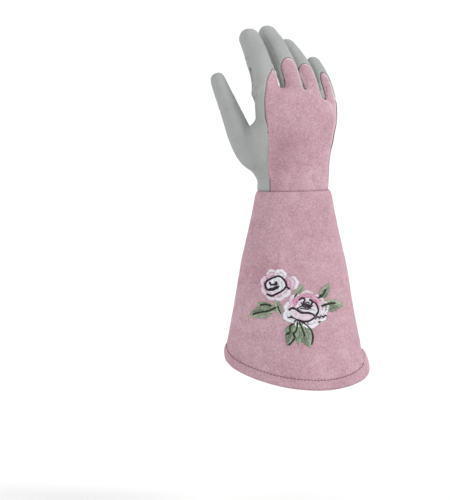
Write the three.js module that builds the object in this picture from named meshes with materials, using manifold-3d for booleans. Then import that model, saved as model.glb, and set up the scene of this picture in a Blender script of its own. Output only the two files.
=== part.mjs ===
// Rose pruning gauntlet: one right-hand work glove with a grey leather palm, a pink suede back and a long
// flared cuff.
// Millimetres. +Z runs from the wrist to the fingertips, +Y out of the palm, the thumb is at -X.
// The origin is the centre of the wrist, where the glove sits on the hand.

import * as THREE from "three";
import { mergeVertices } from "three/addons/utils/BufferGeometryUtils.js";
import Module from "manifold-3d";

const wasm = await Module();
wasm.setup();

// Walls and clearances
const LEATHER = 1.4; // hand pieces
const CUFF_SUEDE = 1.6;
const PATCH_LEATHER = 1.2;
const THREAD_RAISE = 0.9; // embroidery above the suede
const SEAM_GAP = 0.35; // left open between neighbouring pieces

// The hand
const PALM_LENGTH = 105; // wrist seam to the knuckle webs
const PALM_WIDTH = 95;
const PALM_DEPTH = 42;
const WRIST_WIDTH = 75.6;
const WRIST_DEPTH = 47;
const WRIST_TUCK = 9; // how far the hand runs down inside the cuff
const KNUCKLE_DROP = 20; // how much lower the webs are at the little finger's edge

// Fingers, each from its knuckle to the centre of its rounded tip
const INDEX_REACH = 69;
const MIDDLE_REACH = 80;
const RING_REACH = 76;
const LITTLE_REACH = 63;
const THUMB_REACH = 85;
const INDEX_WIDTH = 24.8;
const MIDDLE_WIDTH = 22.4;
const RING_WIDTH = 20.2;
const LITTLE_WIDTH = 18;
const THUMB_WIDTH = 20.5;

// The cuff
const CUFF_SIDE_LENGTH = 170; // wrist to hem along the side seams
const HEM_WIDTH = 144;
const HEM_DEPTH = 104;
const HEM_BOW = 29; // how much longer the back and the palm side are than the sides
const HEM_SLANT = 4.5; // the thumb side is shorter by twice this
const HEM_SKEW = 8;
const HEM_TURN = -19; // degrees that the hem is turned against the hand
const BAND_HEIGHT = 9.5;
const BAND_SUEDE = 1.3;

// Seams and ornament
const BACK_SEAM_FRONT = -7.5; // how far forward the pink back reaches at the little finger's edge
const APEX_SEAM_FRONT = 1; // and how far forward it reaches between the index and the middle finger
const PATCH_WIDTH = 74;
const PATCH_HEIGHT = 82;
const SMALL_ROSE = 33;
const LARGE_ROSE = 45;
const LEAF_LENGTH = 27;

const FINGER_SIDES = { outside: 12, inside: 7 };
const PALM_SIDES = { outside: 26, inside: 14 };
const CUFF_SIDES = 34;

const radians = THREE.MathUtils.degToRad;
const halfPalm = PALM_WIDTH / 2;
const farAway = 2 * PALM_WIDTH; // outside every wall

// Where the fingers spring from, in shares of half the palm's width and of its length. The bends are measured from
// straight up towards the palm, one for each phalanx, and the lean is towards the thumb.
const FINGERS = {
  index: { across: -0.63, up: 0.88, reach: INDEX_REACH, width: INDEX_WIDTH, lean: 6.8, bends: [12, 23, 34] },
  middle: { across: 0.01, up: 0.876, reach: MIDDLE_REACH, width: MIDDLE_WIDTH, lean: 9, bends: [13, 32, 45] },
  ring: { across: 0.463, up: 0.83, reach: RING_REACH, width: RING_WIDTH, lean: 6.7, bends: [18, 42, 50] },
  little: { across: 0.858, up: 0.755, reach: LITTLE_REACH, width: LITTLE_WIDTH, lean: 0, bends: [19, 43, 48] },
};
const PHALANGES = [0.38, 0.34, 0.28]; // shares of a finger's reach
const INDEX_WEB = 0.42; // how much wider the index finger's base is towards the middle finger
const WEB_REACH = 0.5; // share of its reach where the widened base has faded out
const HEEL = 42; // how far below its knuckle a finger's tube starts, inside the palm

// A finger's half width at shares of its reach. crease pulls the palm side in where the glove folds.
const FINGER_SECTIONS = [
  { along: -0.55, half: 0.9, crease: 0 },
  { along: 0.04, half: 0.97, crease: 0 },
  { along: 0.3, half: 1.0, crease: 0 },
  { along: 0.41, half: 1.01, crease: 0.17 },
  { along: 0.5, half: 1.0, crease: 0 },
  { along: 0.76, half: 0.95, crease: 0 },
  { along: 1, half: 0.86, crease: 0 },
];

// The thumb springs lower, from the heel of the hand.
const THUMB = { across: -0.915, front: 0.62, up: 0.335, lean: 21, bends: [12, 8, 6] };
const THUMB_HEEL = { across: -0.52, front: 0.24, up: 0.08 };
const THUMB_SECTIONS = [
  { along: -0.36, half: 0.82, crease: 0 },
  { along: -0.16, half: 1.0, crease: 0 },
  { along: 0.04, half: 1.2, crease: 0 },
  { along: 0.3, half: 1.24, crease: 0 },
  { along: 0.55, half: 1.07, crease: 0.1 },
  { along: 0.78, half: 0.92, crease: 0 },
  { along: 1, half: 0.72, crease: 0 },
];

// The palm, from inside the cuff up to the webs: up in shares of its length, wide and deep in shares of its
// half sizes, like a wrist by the share in wrist, shift across in shares of half its width, and arch, the share
// of the knuckle line's drop.
const PALM_SECTIONS = [
  { up: 0, wrist: 1, wide: 0.82, deep: 1, shift: 0, arch: 0 },
  { up: 0.12, wrist: 0.85, wide: 0.82, deep: 1.06, shift: 0, arch: 0 },
  { up: 0.26, wrist: 0.4, wide: 0.84, deep: 1.04, shift: 0, arch: 0 },
  { up: 0.43, wrist: 0, wide: 0.93, deep: 1.03, shift: -0.03, arch: 0 },
  { up: 0.57, wrist: 0, wide: 1, deep: 0.99, shift: -0.045, arch: 0 },
  { up: 0.63, wrist: 0, wide: 0.995, deep: 0.96, shift: -0.03, arch: 0 },
  { up: 0.69, wrist: 0, wide: 0.96, deep: 0.92, shift: 0.04, arch: 0.15 },
  { up: 0.81, wrist: 0, wide: 0.955, deep: 0.84, shift: 0.055, arch: 0.5 },
  { up: 0.92, wrist: 0, wide: 0.95, deep: 0.68, shift: 0.035, arch: 0.85 },
  { up: 0.985, wrist: 0, wide: 0.9, deep: 0.4, shift: 0, arch: 1 },
];
const ARCH_CENTRE = -0.1; // share of half the palm's width where the knuckle line is highest
const SQUARENESS = 0.88; // 1 for an oval hand, less for a squarer one

// Solids

/** A closed solid through rings of equal length, capped by a point in the middle of each end ring. */
function loft(rings) {
  const sides = rings[0].length;
  const points = rings.flat();
  const triangles = [];
  for (let r = 0; r + 1 < rings.length; r++) {
    for (let i = 0; i < sides; i++) {
      const [a, b] = [r * sides + i, r * sides + ((i + 1) % sides)];
      triangles.push(a, b, b + sides, a, b + sides, a + sides);
    }
  }
  for (const [end, start] of [[rings[0], 0], [rings.at(-1), (rings.length - 1) * sides]]) {
    const centre = end.reduce((sum, p) => sum.add(p), new THREE.Vector3()).divideScalar(sides);
    const middle = points.push(centre) - 1;
    for (let i = 0; i < sides; i++) {
      const [a, b] = [start + i, start + ((i + 1) % sides)];
      triangles.push(...(start ? [a, b, middle] : [b, a, middle]));
    }
  }
  return solidOf(points, triangles);
}

/** A closed ring: each row is a loop across its section, and the last row joins the first. */
function closedBand(rows) {
  const across = rows[0].length;
  const triangles = [];
  rows.forEach((_, r) => {
    const next = (r + 1) % rows.length;
    for (let i = 0; i < across; i++) {
      const j = (i + 1) % across;
      const [a, b, c, d] = [r * across + i, r * across + j, next * across + j, next * across + i];
      triangles.push(a, b, c, a, c, d);
    }
  });
  return solidOf(rows.flat(), triangles);
}

/** The solid inside a closed skin of triangles, whichever way round they were listed. */
function solidOf(points, triangles) {
  const geometry = new THREE.BufferGeometry().setFromPoints(points).setIndex(triangles);
  const solid = solidOfGeometry(geometry);
  if (solid.volume() > 0) return solid;
  for (let i = 0; i < triangles.length; i += 3) {
    [triangles[i + 1], triangles[i + 2]] = [triangles[i + 2], triangles[i + 1]];
  }
  return solidOfGeometry(geometry.setIndex(triangles));
}

function solidOfGeometry(geometry) {
  const bare = geometry.clone().deleteAttribute("normal").deleteAttribute("uv");
  const merged = mergeVertices(bare, 1e-4);
  return new wasm.Manifold(
    new wasm.Mesh({
      numProp: 3,
      vertProperties: merged.attributes.position.array,
      triVerts: new Uint32Array(merged.index.array),
    }),
  );
}

/** An outline in X and Z, cut through everything between two depths in Y, turned about Z by degrees. */
function throughCut(outline, nearY, farY, turn = 0) {
  const shape = new THREE.Shape(outline.map(({ x, z }) => new THREE.Vector2(x, z)));
  const geometry = new THREE.ExtrudeGeometry(shape, { depth: farY - nearY, bevelEnabled: false });
  geometry.rotateX(Math.PI / 2).translate(0, farY, 0).rotateZ(radians(turn));
  return solidOfGeometry(geometry);
}

/** The outline with every edge moved outwards by grow. */
function grown(outline, grow) {
  const n = outline.length;
  const after = (i) => outline[(i + 1) % n];
  const area = outline.reduce((sum, p, i) => sum + p.x * after(i).z - after(i).x * p.z, 0);
  const normal = (from, to) => {
    const run = new THREE.Vector2(to.x - from.x, to.z - from.z).normalize();
    return new THREE.Vector2(run.y, -run.x).multiplyScalar(Math.sign(area));
  };
  return outline.map((p, i) => {
    const [one, other] = [normal(outline[(i + n - 1) % n], p), normal(p, after(i))];
    const mitre = grow / (1 + one.dot(other));
    return { x: p.x + (one.x + other.x) * mitre, z: p.z + (one.y + other.y) * mitre };
  });
}

/** A smooth curve in X and Z through a few points. */
function smooth(points, steps = 2 * (points.length - 1)) {
  const curve = new THREE.SplineCurve(points.map(([x, z]) => new THREE.Vector2(x, z)));
  return curve.getPoints(steps).map((p) => ({ x: p.x, z: p.y }));
}

/** A table's row at a place between its rows, by the column it is ordered by. */
function rowAt(table, column, place) {
  const above = table.findIndex((row, i) => i > 0 && (row[column] >= place || i === table.length - 1));
  const [low, high] = [table[above - 1], table[above]];
  const share = (place - low[column]) / (high[column] - low[column]);
  const between = (key) => THREE.MathUtils.lerp(low[key], high[key], share);
  return Object.fromEntries(Object.keys(low).map((key) => [key, between(key)]));
}

const roundedPower = (value, power) => Math.sign(value) * Math.abs(value) ** power;

// The hand's forms

/** The palm's loft with its walls moved in by inset, or out where inset is negative. */
function palmForm(inset) {
  const tuck = { ...PALM_SECTIONS[0], up: -WRIST_TUCK / PALM_LENGTH };
  const rings = [tuck, ...PALM_SECTIONS].map((row, i) => {
    const { wrist, shift, arch } = row;
    const wide = THREE.MathUtils.lerp(row.wide * halfPalm, WRIST_WIDTH / 2, wrist) - inset;
    const deep = THREE.MathUtils.lerp((row.deep * PALM_DEPTH) / 2, WRIST_DEPTH / 2, wrist) - inset;
    const openEnd = i === 0 && inset > 0 ? inset : 0; // the hollow runs out at the wrist
    const top = i === PALM_SECTIONS.length ? inset : 0;
    const sides = inset > 0 ? PALM_SIDES.inside : PALM_SIDES.outside;
    return Array.from({ length: sides }, (_, side) => {
      const angle = (2 * Math.PI * side) / sides;
      const x = shift * halfPalm + wide * roundedPower(Math.cos(angle), SQUARENESS);
      const y = deep * roundedPower(Math.sin(angle), SQUARENESS);
      const fromCrown = (x / halfPalm - ARCH_CENTRE) / (1 - ARCH_CENTRE);
      const z = row.up * PALM_LENGTH - arch * KNUCKLE_DROP * fromCrown ** 2 - openEnd - top;
      return new THREE.Vector3(x, y, z);
    });
  });
  return loft(rings);
}

/** A finger's centre line, its reach and the frame across it at each place. */
class FingerPath {
  constructor({ root, heel, reach, lean, bends, side }) {
    const joints = [heel, root];
    bends.forEach((bend, i) => {
      const [tilt, pitch] = [radians(lean), radians(bend)];
      const along = new THREE.Vector3(
        -Math.sin(tilt),
        Math.cos(tilt) * Math.sin(pitch),
        Math.cos(tilt) * Math.cos(pitch),
      );
      joints.push(joints.at(-1).clone().addScaledVector(along, PHALANGES[i] * reach));
    });
    this.curve = new THREE.CatmullRomCurve3(joints);
    this.length = this.curve.getLength();
    this.reach = reach;
    this.side = side;
  }

  /** Centre, side and palm directions at a share of the reach; the heel lies at negative shares. */
  at(along) {
    const place = THREE.MathUtils.clamp(1 - ((1 - along) * this.reach) / this.length, 0, 1);
    const centre = this.curve.getPointAt(place);
    const forward = this.curve.getTangentAt(place);
    const across = this.side.clone().addScaledVector(forward, -forward.dot(this.side)).normalize();
    return { centre, forward, across, palmward: forward.clone().cross(across) };
  }
}

const fingerPaths = Object.fromEntries(
  Object.entries(FINGERS).map(([name, { across, up, ...rest }]) => {
    const root = new THREE.Vector3(across * halfPalm, 0, up * PALM_LENGTH);
    const heel = new THREE.Vector3(0.8 * across * halfPalm, -0.1 * PALM_DEPTH, up * PALM_LENGTH - HEEL);
    return [name, new FingerPath({ root, heel, side: new THREE.Vector3(1, 0, 0), ...rest })];
  }),
);
const placed = ({ across, front, up }) =>
  new THREE.Vector3(across * halfPalm, (front * PALM_DEPTH) / 2, up * PALM_LENGTH);
fingerPaths.thumb = new FingerPath({
  root: placed(THUMB),
  heel: placed(THUMB_HEEL),
  reach: THUMB_REACH,
  lean: THUMB.lean,
  bends: THUMB.bends,
  side: new THREE.Vector3(1, 0.35, 0).normalize(),
});

/** Half width and half depth at a share of the reach, with the tip rounded off beyond 1. */
function fingerSection(name, along) {
  const table = name === "thumb" ? THUMB_SECTIONS : FINGER_SECTIONS;
  const width = name === "thumb" ? THUMB_WIDTH : FINGERS[name].width;
  const row = rowAt(table, "along", along);
  const web = name === "index" ? INDEX_WEB * THREE.MathUtils.clamp(1 - along / WEB_REACH, 0, 1) : 0;
  return { half: (row.half * width) / 2, crease: row.crease, web };
}

/** A finger's tube with its walls moved in by inset, from a share of its reach to the end of its tip. */
function fingerForm(name, inset, from = -1) {
  const path = fingerPaths[name];
  const table = name === "thumb" ? THUMB_SECTIONS : FINGER_SECTIONS;
  const places = table.map((row) => row.along).filter((along) => along > from + 0.02);
  places.unshift(Math.max(from, table[0].along));
  const ring = (along, shrink, forwardBy) => {
    const { centre, forward, across, palmward } = path.at(along);
    const { half, crease, web } = fingerSection(name, along);
    const sides = inset > 0 ? FINGER_SIDES.inside : FINGER_SIDES.outside;
    return Array.from({ length: sides }, (_, side) => {
      const angle = (2 * Math.PI * side) / sides;
      const front = Math.max(0, Math.sin(angle));
      const inner = 1 + web * Math.max(0, Math.cos(angle));
      const size = (half - inset) * shrink;
      return centre
        .clone()
        .addScaledVector(forward, forwardBy)
        .addScaledVector(across, size * inner * roundedPower(Math.cos(angle), 0.9))
        .addScaledVector(palmward, size * roundedPower(Math.sin(angle), 0.9) * (0.97 - crease * front));
    });
  };
  const rings = places.map((along) => ring(along, 1, 0));
  const tipRadius = fingerSection(name, 1).half - inset;
  const tipAngles = inset > 0 ? [38, 72] : [32, 58, 80];
  for (const angle of tipAngles.map(radians)) {
    rings.push(ring(1, Math.cos(angle), tipRadius * Math.sin(angle)));
  }
  return loft(rings);
}

/** A bent block along a finger that cuts its wall, from one share of the reach to another, half as wide as half.
 *  It is centred on the direction turned by angle from the back of the finger, and endRound is the length of its
 *  round end. */
function strip(name, { from, to, half, angle, endRound }, grow = 0) {
  const path = fingerPaths[name];
  const endShare = endRound / path.reach;
  const growShare = grow / path.reach;
  const steps = 4;
  const places = [];
  for (let i = 0; i <= steps; i++) {
    const along = THREE.MathUtils.lerp(from, to - endShare, i / steps);
    places.push({ along: i ? along : along - growShare, width: 1 });
  }
  for (const turn of [30, 58, 84].map(radians)) {
    places.push({ along: to - endShare + (endShare + growShare) * Math.sin(turn), width: Math.cos(turn) });
  }
  const rings = places.map(({ along, width }) => {
    const { centre, forward, across, palmward } = path.at(Math.min(along, 1));
    const beyond = Math.max(0, along - 1) * path.reach;
    const size = fingerSection(name, Math.min(along, 1)).half;
    const outward = palmward.clone().multiplyScalar(-Math.cos(radians(angle)));
    outward.addScaledVector(across, Math.sin(radians(angle)));
    const sideways = forward.clone().cross(outward);
    const middle = centre.clone().addScaledVector(forward, beyond);
    const place = (out, aside) => middle.clone().addScaledVector(outward, out).addScaledVector(sideways, aside);
    const reachAside = (half + grow) * width;
    const near = 0.15 * size - grow;
    const far = 1.6 * size;
    return [place(near, -reachAside), place(far, -reachAside), place(far, reachAside), place(near, reachAside)];
  });
  return loft(rings);
}

const union = (solids) => solids.reduce((all, solid) => all.add(solid));
const digits = [...Object.keys(FINGERS), "thumb"];
const handForm = (inset) => union([palmForm(inset), ...digits.map((name) => fingerForm(name, inset))]);

// The seams, in X and Z, in shares of half the palm's width and of its length

const seamPoint = (across, up) => [across * halfPalm, up * PALM_LENGTH];

const APEX = [-0.53, 1.19]; // where the seam round the index finger meets the line of the webs
const INDEX_SEAM = [[-0.695, -0.2], [-0.7, 0], [-0.75, 0.4], [-0.79, 0.82], [-0.77, 0.97], [-0.69, 1.1], APEX];
const WEB_LINE = [APEX, [-0.4, 1.05], [-0.26, 1.01], [0.24, 0.99], [0.5, 0.95], [0.74, 0.87], [1.4, 0.78]];
const outlineOf = (points) => points.map(([across, up]) => seamPoint(across, up));

/** The pink back of the hand below the fingers, open at the wrist and at the little finger's edge. */
function backOutline() {
  const [x, z] = seamPoint(1.4, -0.2);
  return [...smooth(outlineOf(INDEX_SEAM)), ...smooth(outlineOf(WEB_LINE)).slice(1), { x, z }];
}

/** The point of the pink back that runs up between the index and the middle finger. */
function apexOutline() {
  const inner = outlineOf([WEB_LINE[1], [-0.34, 0.9], [-0.7, 0.86]]).map(([x, z]) => ({ x, z }));
  return [...smooth(outlineOf(INDEX_SEAM.slice(3))), ...inner];
}

const LOBES = {
  middle: { from: 0, to: 0.53, half: 0.4 * MIDDLE_WIDTH, angle: 0, endRound: 0.42 * MIDDLE_WIDTH },
  ring: { from: 0, to: 0.52, half: 0.4 * RING_WIDTH, angle: -4, endRound: 0.42 * RING_WIDTH },
  little: { from: 0, to: 0.65, half: 0.4 * LITTLE_WIDTH, angle: 4, endRound: 0.5 * LITTLE_WIDTH },
};
const FRONTS = {
  middle: { from: -0.1, to: 1.06, half: 0.37 * MIDDLE_WIDTH, angle: 180, endRound: 0.37 * MIDDLE_WIDTH },
  ring: { from: -0.1, to: 1.06, half: 0.37 * RING_WIDTH, angle: 180, endRound: 0.37 * RING_WIDTH },
  little: { from: -0.1, to: 1.06, half: 0.37 * LITTLE_WIDTH, angle: 180, endRound: 0.37 * LITTLE_WIDTH },
};
const CAP_STARTS = { middle: 0.15, ring: 0.17, little: 0.2 };
const THUMB_BACK = { from: -0.36, to: 1.2, half: THUMB_WIDTH, angle: 0, endRound: 0.1 * THUMB_WIDTH };
const GUSSET = { from: 0.2, to: 1.0, half: 0.27 * INDEX_WIDTH, angle: 90, endRound: 0.3 * INDEX_WIDTH };
const gussetCut = (grow) => strip("index", GUSSET, grow).intersect(fingerForm("index", -3 * SEAM_GAP, 0.1));

function backCut(grow) {
  const sheet = throughCut(grown(backOutline(), grow), -farAway, BACK_SEAM_FRONT + grow);
  const apex = throughCut(grown(apexOutline(), grow), -farAway, APEX_SEAM_FRONT + grow);
  return union([sheet, apex, ...Object.entries(LOBES).map(([name, lobe]) => strip(name, lobe, grow))]);
}

/** The thumb's piece: a rounded field on the palm side and a narrower one on the back, open past the thumb. */
function thumbCut(grow) {
  const palmSide = smooth([
    seamPoint(-0.8, 0.12), seamPoint(-0.6, 0.095), seamPoint(-0.37, 0.14), seamPoint(-0.27, 0.26),
    seamPoint(-0.26, 0.42), seamPoint(-0.34, 0.62), seamPoint(-0.47, 0.76), seamPoint(-0.63, 0.81),
    seamPoint(-0.78, 0.765), seamPoint(-0.9, 0.665),
  ]);
  const backSide = smooth([
    seamPoint(-0.8, 0.12), seamPoint(-0.74, 0.2), seamPoint(-0.76, 0.4), seamPoint(-0.82, 0.56),
    seamPoint(-0.9, 0.665),
  ]);
  const outside = [seamPoint(-0.93, 0.78), seamPoint(-1.2, 1.2), seamPoint(-3, 1.2), seamPoint(-3, 0.12)];
  const beyond = outside.map(([x, z]) => ({ x, z }));
  return throughCut(grown([...palmSide, ...beyond], grow), -grow, farAway).add(
    throughCut(grown([...backSide, ...beyond], grow), -farAway, PALM_DEPTH / 8),
  );
}

/** The reinforcing patch: from the little finger's edge to the curve round the ball of the thumb. */
function patchOutline() {
  const edge = halfPalm - 0.04 * PALM_WIDTH;
  const low = 0.07 * PALM_LENGTH;
  const point = (inward, up) => [edge - inward * PATCH_WIDTH, low + up * PATCH_HEIGHT];
  const curved = [point(0.98, 1), point(0.86, 0.83), point(0.76, 0.56), point(0.745, 0.36), point(0.77, 0.2)];
  const rim = smooth(curved);
  const corners = [point(0.8, 0.06), point(0.14, 0), point(0.0, 0.32), point(-0.02, 0.72)];
  return [...rim, ...corners.map(([x, z]) => ({ x, z }))];
}

const shell = handForm(0).subtract(handForm(LEATHER));

function capPiece(name) {
  const zone = fingerForm(name, -SEAM_GAP, CAP_STARTS[name]);
  const away = strip(name, FRONTS[name], SEAM_GAP / 2).add(backCut(SEAM_GAP / 2));
  return shell.intersect(zone).subtract(away);
}

function palmPiece() {
  const capZones = Object.keys(CAP_STARTS).map((name) => {
    const start = CAP_STARTS[name] - SEAM_GAP / fingerPaths[name].reach;
    return fingerForm(name, -2 * SEAM_GAP, start).subtract(strip(name, FRONTS[name], -SEAM_GAP / 2));
  });
  const away = union([backCut(SEAM_GAP / 2), thumbCut(SEAM_GAP / 2), gussetCut(SEAM_GAP / 2), ...capZones]);
  return shell.subtract(away);
}

function patchPiece() {
  const field = throughCut(patchOutline(), 0, farAway);
  return handForm(-SEAM_GAP - PATCH_LEATHER).subtract(handForm(-SEAM_GAP)).intersect(field);
}

// The cuff

// How far the cuff has opened from the wrist's size to the hem's, at shares of its length
const CUFF_SECTIONS = [
  { down: 0, flare: 0 },
  { down: 0.2, flare: 0.215 },
  { down: 0.4, flare: 0.45 },
  { down: 0.7, flare: 0.71 },
  { down: 1, flare: 1 },
];
const BAND_TOP = 1 - BAND_HEIGHT / CUFF_SIDE_LENGTH;
const CUFF_WAVES = [
  { count: 3, phase: 20, height: 1.1 },
  { count: 5, phase: 75, height: 0.7 },
];

const hemLevel = (angle) => {
  const bow = Math.abs(Math.sin(angle)) ** 1.25;
  return -(CUFF_SIDE_LENGTH + HEM_BOW * bow + (HEM_SLANT + HEM_SKEW * bow) * Math.cos(angle));
};

/** A point of the cuff's outer face, moved out by out, at an angle round it and a share of the way to the hem. */
function cuffPoint(angle, down, out) {
  const { flare } = rowAt(CUFF_SECTIONS, "down", down);
  const lap = CUFF_SUEDE + SEAM_GAP;
  const waves = CUFF_WAVES.map((w) => w.height * Math.cos(w.count * angle + radians(w.phase)));
  const wave = waves.reduce((sum, height) => sum + height) * down;
  const wide = THREE.MathUtils.lerp(WRIST_WIDTH / 2 + lap, HEM_WIDTH / 2, flare) + out + wave;
  const deep = THREE.MathUtils.lerp(WRIST_DEPTH / 2 + lap, HEM_DEPTH / 2, flare) + out + wave;
  const power = THREE.MathUtils.lerp(SQUARENESS, 0.95, Math.min(down, 1));
  const turn = radians(HEM_TURN) * down;
  const [x, y] = [wide * roundedPower(Math.cos(angle), power), deep * roundedPower(Math.sin(angle), power)];
  const [cos, sin] = [Math.cos(turn), Math.sin(turn)];
  return new THREE.Vector3(x * cos - y * sin, x * sin + y * cos, hemLevel(angle) * down);
}

const aroundCuff = (make) =>
  Array.from({ length: CUFF_SIDES }, (_, i) => make((2 * Math.PI * i) / CUFF_SIDES));

const cuffLevels = (from, to) => {
  const levels = [...CUFF_SECTIONS.map((row) => row.down), BAND_TOP];
  return [from, ...levels.filter((down) => down > from && down < to), to].toSorted((a, b) => a - b);
};

function cuffPiece() {
  const levels = cuffLevels(0, 1);
  return closedBand(
    aroundCuff((angle) => [
      ...levels.map((down) => cuffPoint(angle, down, 0)),
      ...levels.toReversed().map((down) => cuffPoint(angle, down, -CUFF_SUEDE)),
    ]),
  );
}

/** The cuff's solid outer form with its face moved out by out, between shares of the way down. */
const cuffForm = (out, from, to) =>
  loft(cuffLevels(from, to).map((down) => aroundCuff((angle) => cuffPoint(angle, down, out))));

/** The suede folded over the cuff's lower edge. */
function hemPiece() {
  const below = (millimetres) => 1 + millimetres / CUFF_SIDE_LENGTH;
  const [edge, bottom] = [below(SEAM_GAP), below(SEAM_GAP + BAND_SUEDE)];
  const [outer, inner] = [SEAM_GAP, -CUFF_SUEDE - SEAM_GAP];
  const section = [
    { down: BAND_TOP, out: outer },
    { down: BAND_TOP, out: outer + BAND_SUEDE },
    { down: 1, out: outer + BAND_SUEDE * 1.2 },
    { down: bottom, out: (outer + inner) / 2 },
    { down: 1, out: inner - BAND_SUEDE * 1.2 },
    { down: BAND_TOP, out: inner - BAND_SUEDE },
    { down: BAND_TOP, out: inner },
    { down: edge, out: inner },
    { down: edge, out: outer },
  ];
  return closedBand(aroundCuff((angle) => section.map(({ down, out }) => cuffPoint(angle, down, out))));
}

// The embroidery, seen square to the back of the cuff: across in shares of half the hem's width, down in shares
// of the cuff's length

const EMBROIDERY_TURN = -20; // degrees round the cuff from the back of the hand
const ROSES = {
  rose_small: { across: -0.32, down: 0.541, size: SMALL_ROSE, tall: 1, petals: 6, turn: 10 },
  rose_large: { across: 0.111, down: 0.694, size: LARGE_ROSE, tall: 0.8, petals: 7, turn: 35 },
};
const LEAVES = [
  { across: 0.049, down: 0.571, aim: 60, size: 0.5 },
  { across: -0.264, down: 0.682, aim: 112, size: 0.5 },
  { across: -0.5, down: 0.694, aim: 205, size: 1.0 },
  { across: 0.417, down: 0.576, aim: 60, size: 0.9 },
  { across: 0.528, down: 0.653, aim: 5, size: 0.85 },
  { across: -0.042, down: 0.847, aim: 250, size: 0.95 },
  { across: 0.153, down: 0.853, aim: 292, size: 1.05 },
];
const LEAF_WIDTH = 0.42; // share of a leaf's length
const onCuff = ({ across, down }) => ({ x: (across * HEM_WIDTH) / 2, z: -down * CUFF_SIDE_LENGTH });

function roseOutline({ size, tall, petals, turn, ...place }, grow = 0) {
  const { x, z } = onCuff(place);
  return Array.from({ length: 4 * petals }, (_, i) => {
    const angle = (2 * Math.PI * i) / (4 * petals);
    const scallop = 0.9 + 0.1 * Math.abs(Math.sin((petals * angle) / 2 + radians(turn))) ** 0.5;
    const radius = (size / 2) * scallop + grow;
    return { x: x + radius * Math.cos(angle), z: z + tall * radius * Math.sin(angle) };
  });
}

function leafOutline({ aim, size, ...place }) {
  const { x, z } = onCuff(place);
  const length = size * LEAF_LENGTH;
  const turned = (point) => point.rotateAround(new THREE.Vector2(), radians(aim));
  const edge = (side, count) =>
    Array.from({ length: count }, (_, i) => {
      const along = (i + (side > 0 ? 0 : 1)) / count - 0.5;
      const aside = (side * LEAF_WIDTH * length * Math.cos(Math.PI * along)) / 2;
      return turned(new THREE.Vector2(side * along * length, aside));
    });
  return [...edge(1, 5), ...edge(-1, 5)].map((p) => ({ x: x + p.x, z: z + p.y }));
}

// Each outline becomes a thin raised field of thread on the cuff.
const threadLayer = cuffForm(SEAM_GAP + THREAD_RAISE, 0.33, 0.93).subtract(cuffForm(SEAM_GAP, 0.32, 0.94));

const embroideryCut = (outline) => throughCut(outline, -farAway, 0, EMBROIDERY_TURN);
const threadField = (outline) => threadLayer.intersect(embroideryCut(outline));
const aroundRoses = union(Object.values(ROSES).map((rose) => embroideryCut(roseOutline(rose, SEAM_GAP))));

// Materials

const finish = (color, roughness) => new THREE.MeshStandardMaterial({ color, roughness, metalness: 0 });
const greyLeather = finish(0x9d9d9a, 0.75);
const pinkSuede = finish(0xc79aa6, 0.95);
const petalThread = finish(0xe6d3dc, 0.55);
const leafThread = finish(0x6f8a66, 0.55);

function mesh(name, solid, material) {
  const { vertProperties, triVerts } = solid.getMesh();
  const geometry = new THREE.BufferGeometry();
  geometry.setAttribute("position", new THREE.BufferAttribute(vertProperties, 3));
  geometry.setIndex(new THREE.BufferAttribute(triVerts, 1));
  geometry.computeVertexNormals();
  const made = new THREE.Mesh(geometry, material);
  made.name = name;
  return made;
}

const gauntlet = new THREE.Group();
gauntlet.name = "rose_pruning_gauntlet";
gauntlet.add(mesh("palm_panel", palmPiece(), greyLeather));
gauntlet.add(mesh("back_panel", shell.intersect(backCut(-SEAM_GAP / 2)), pinkSuede));
const thumb = shell.intersect(thumbCut(-SEAM_GAP / 2));
gauntlet.add(mesh("thumb_front", thumb.subtract(strip("thumb", THUMB_BACK, SEAM_GAP / 2)), greyLeather));
gauntlet.add(mesh("thumb_back", thumb.intersect(strip("thumb", THUMB_BACK, -SEAM_GAP / 2)), greyLeather));
const gusset = shell.intersect(gussetCut(-SEAM_GAP / 2)).subtract(backCut(SEAM_GAP / 2));
gauntlet.add(mesh("index_gusset", gusset, greyLeather));
for (const name of Object.keys(CAP_STARTS)) {
  gauntlet.add(mesh(`${name}_cap`, capPiece(name), greyLeather));
}
gauntlet.add(mesh("palm_patch", patchPiece(), greyLeather));
gauntlet.add(mesh("cuff", cuffPiece(), pinkSuede));
gauntlet.add(mesh("cuff_hem", hemPiece(), pinkSuede));
for (const [name, rose] of Object.entries(ROSES)) {
  gauntlet.add(mesh(name, threadField(roseOutline(rose)), petalThread));
}
LEAVES.forEach((leaf, i) => {
  const clear = threadField(leafOutline(leaf)).subtract(aroundRoses);
  gauntlet.add(mesh(`leaf_${i + 1}`, clear, leafThread));
});

export default gauntlet;
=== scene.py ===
"""Rose pruning gauntlet: one right-hand work glove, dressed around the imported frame.

Lengths are millimetres until a mesh is made, where they become metres. +Z runs from the wrist to the
fingertips, +Y out of the palm, and the thumb is at -X.
"""

from __future__ import annotations

import logging
import math
from dataclasses import dataclass, field
from enum import Enum

import bpy
import numpy as np
from mathutils import Matrix, Vector, noise
from mathutils.bvhtree import BVHTree

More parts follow.
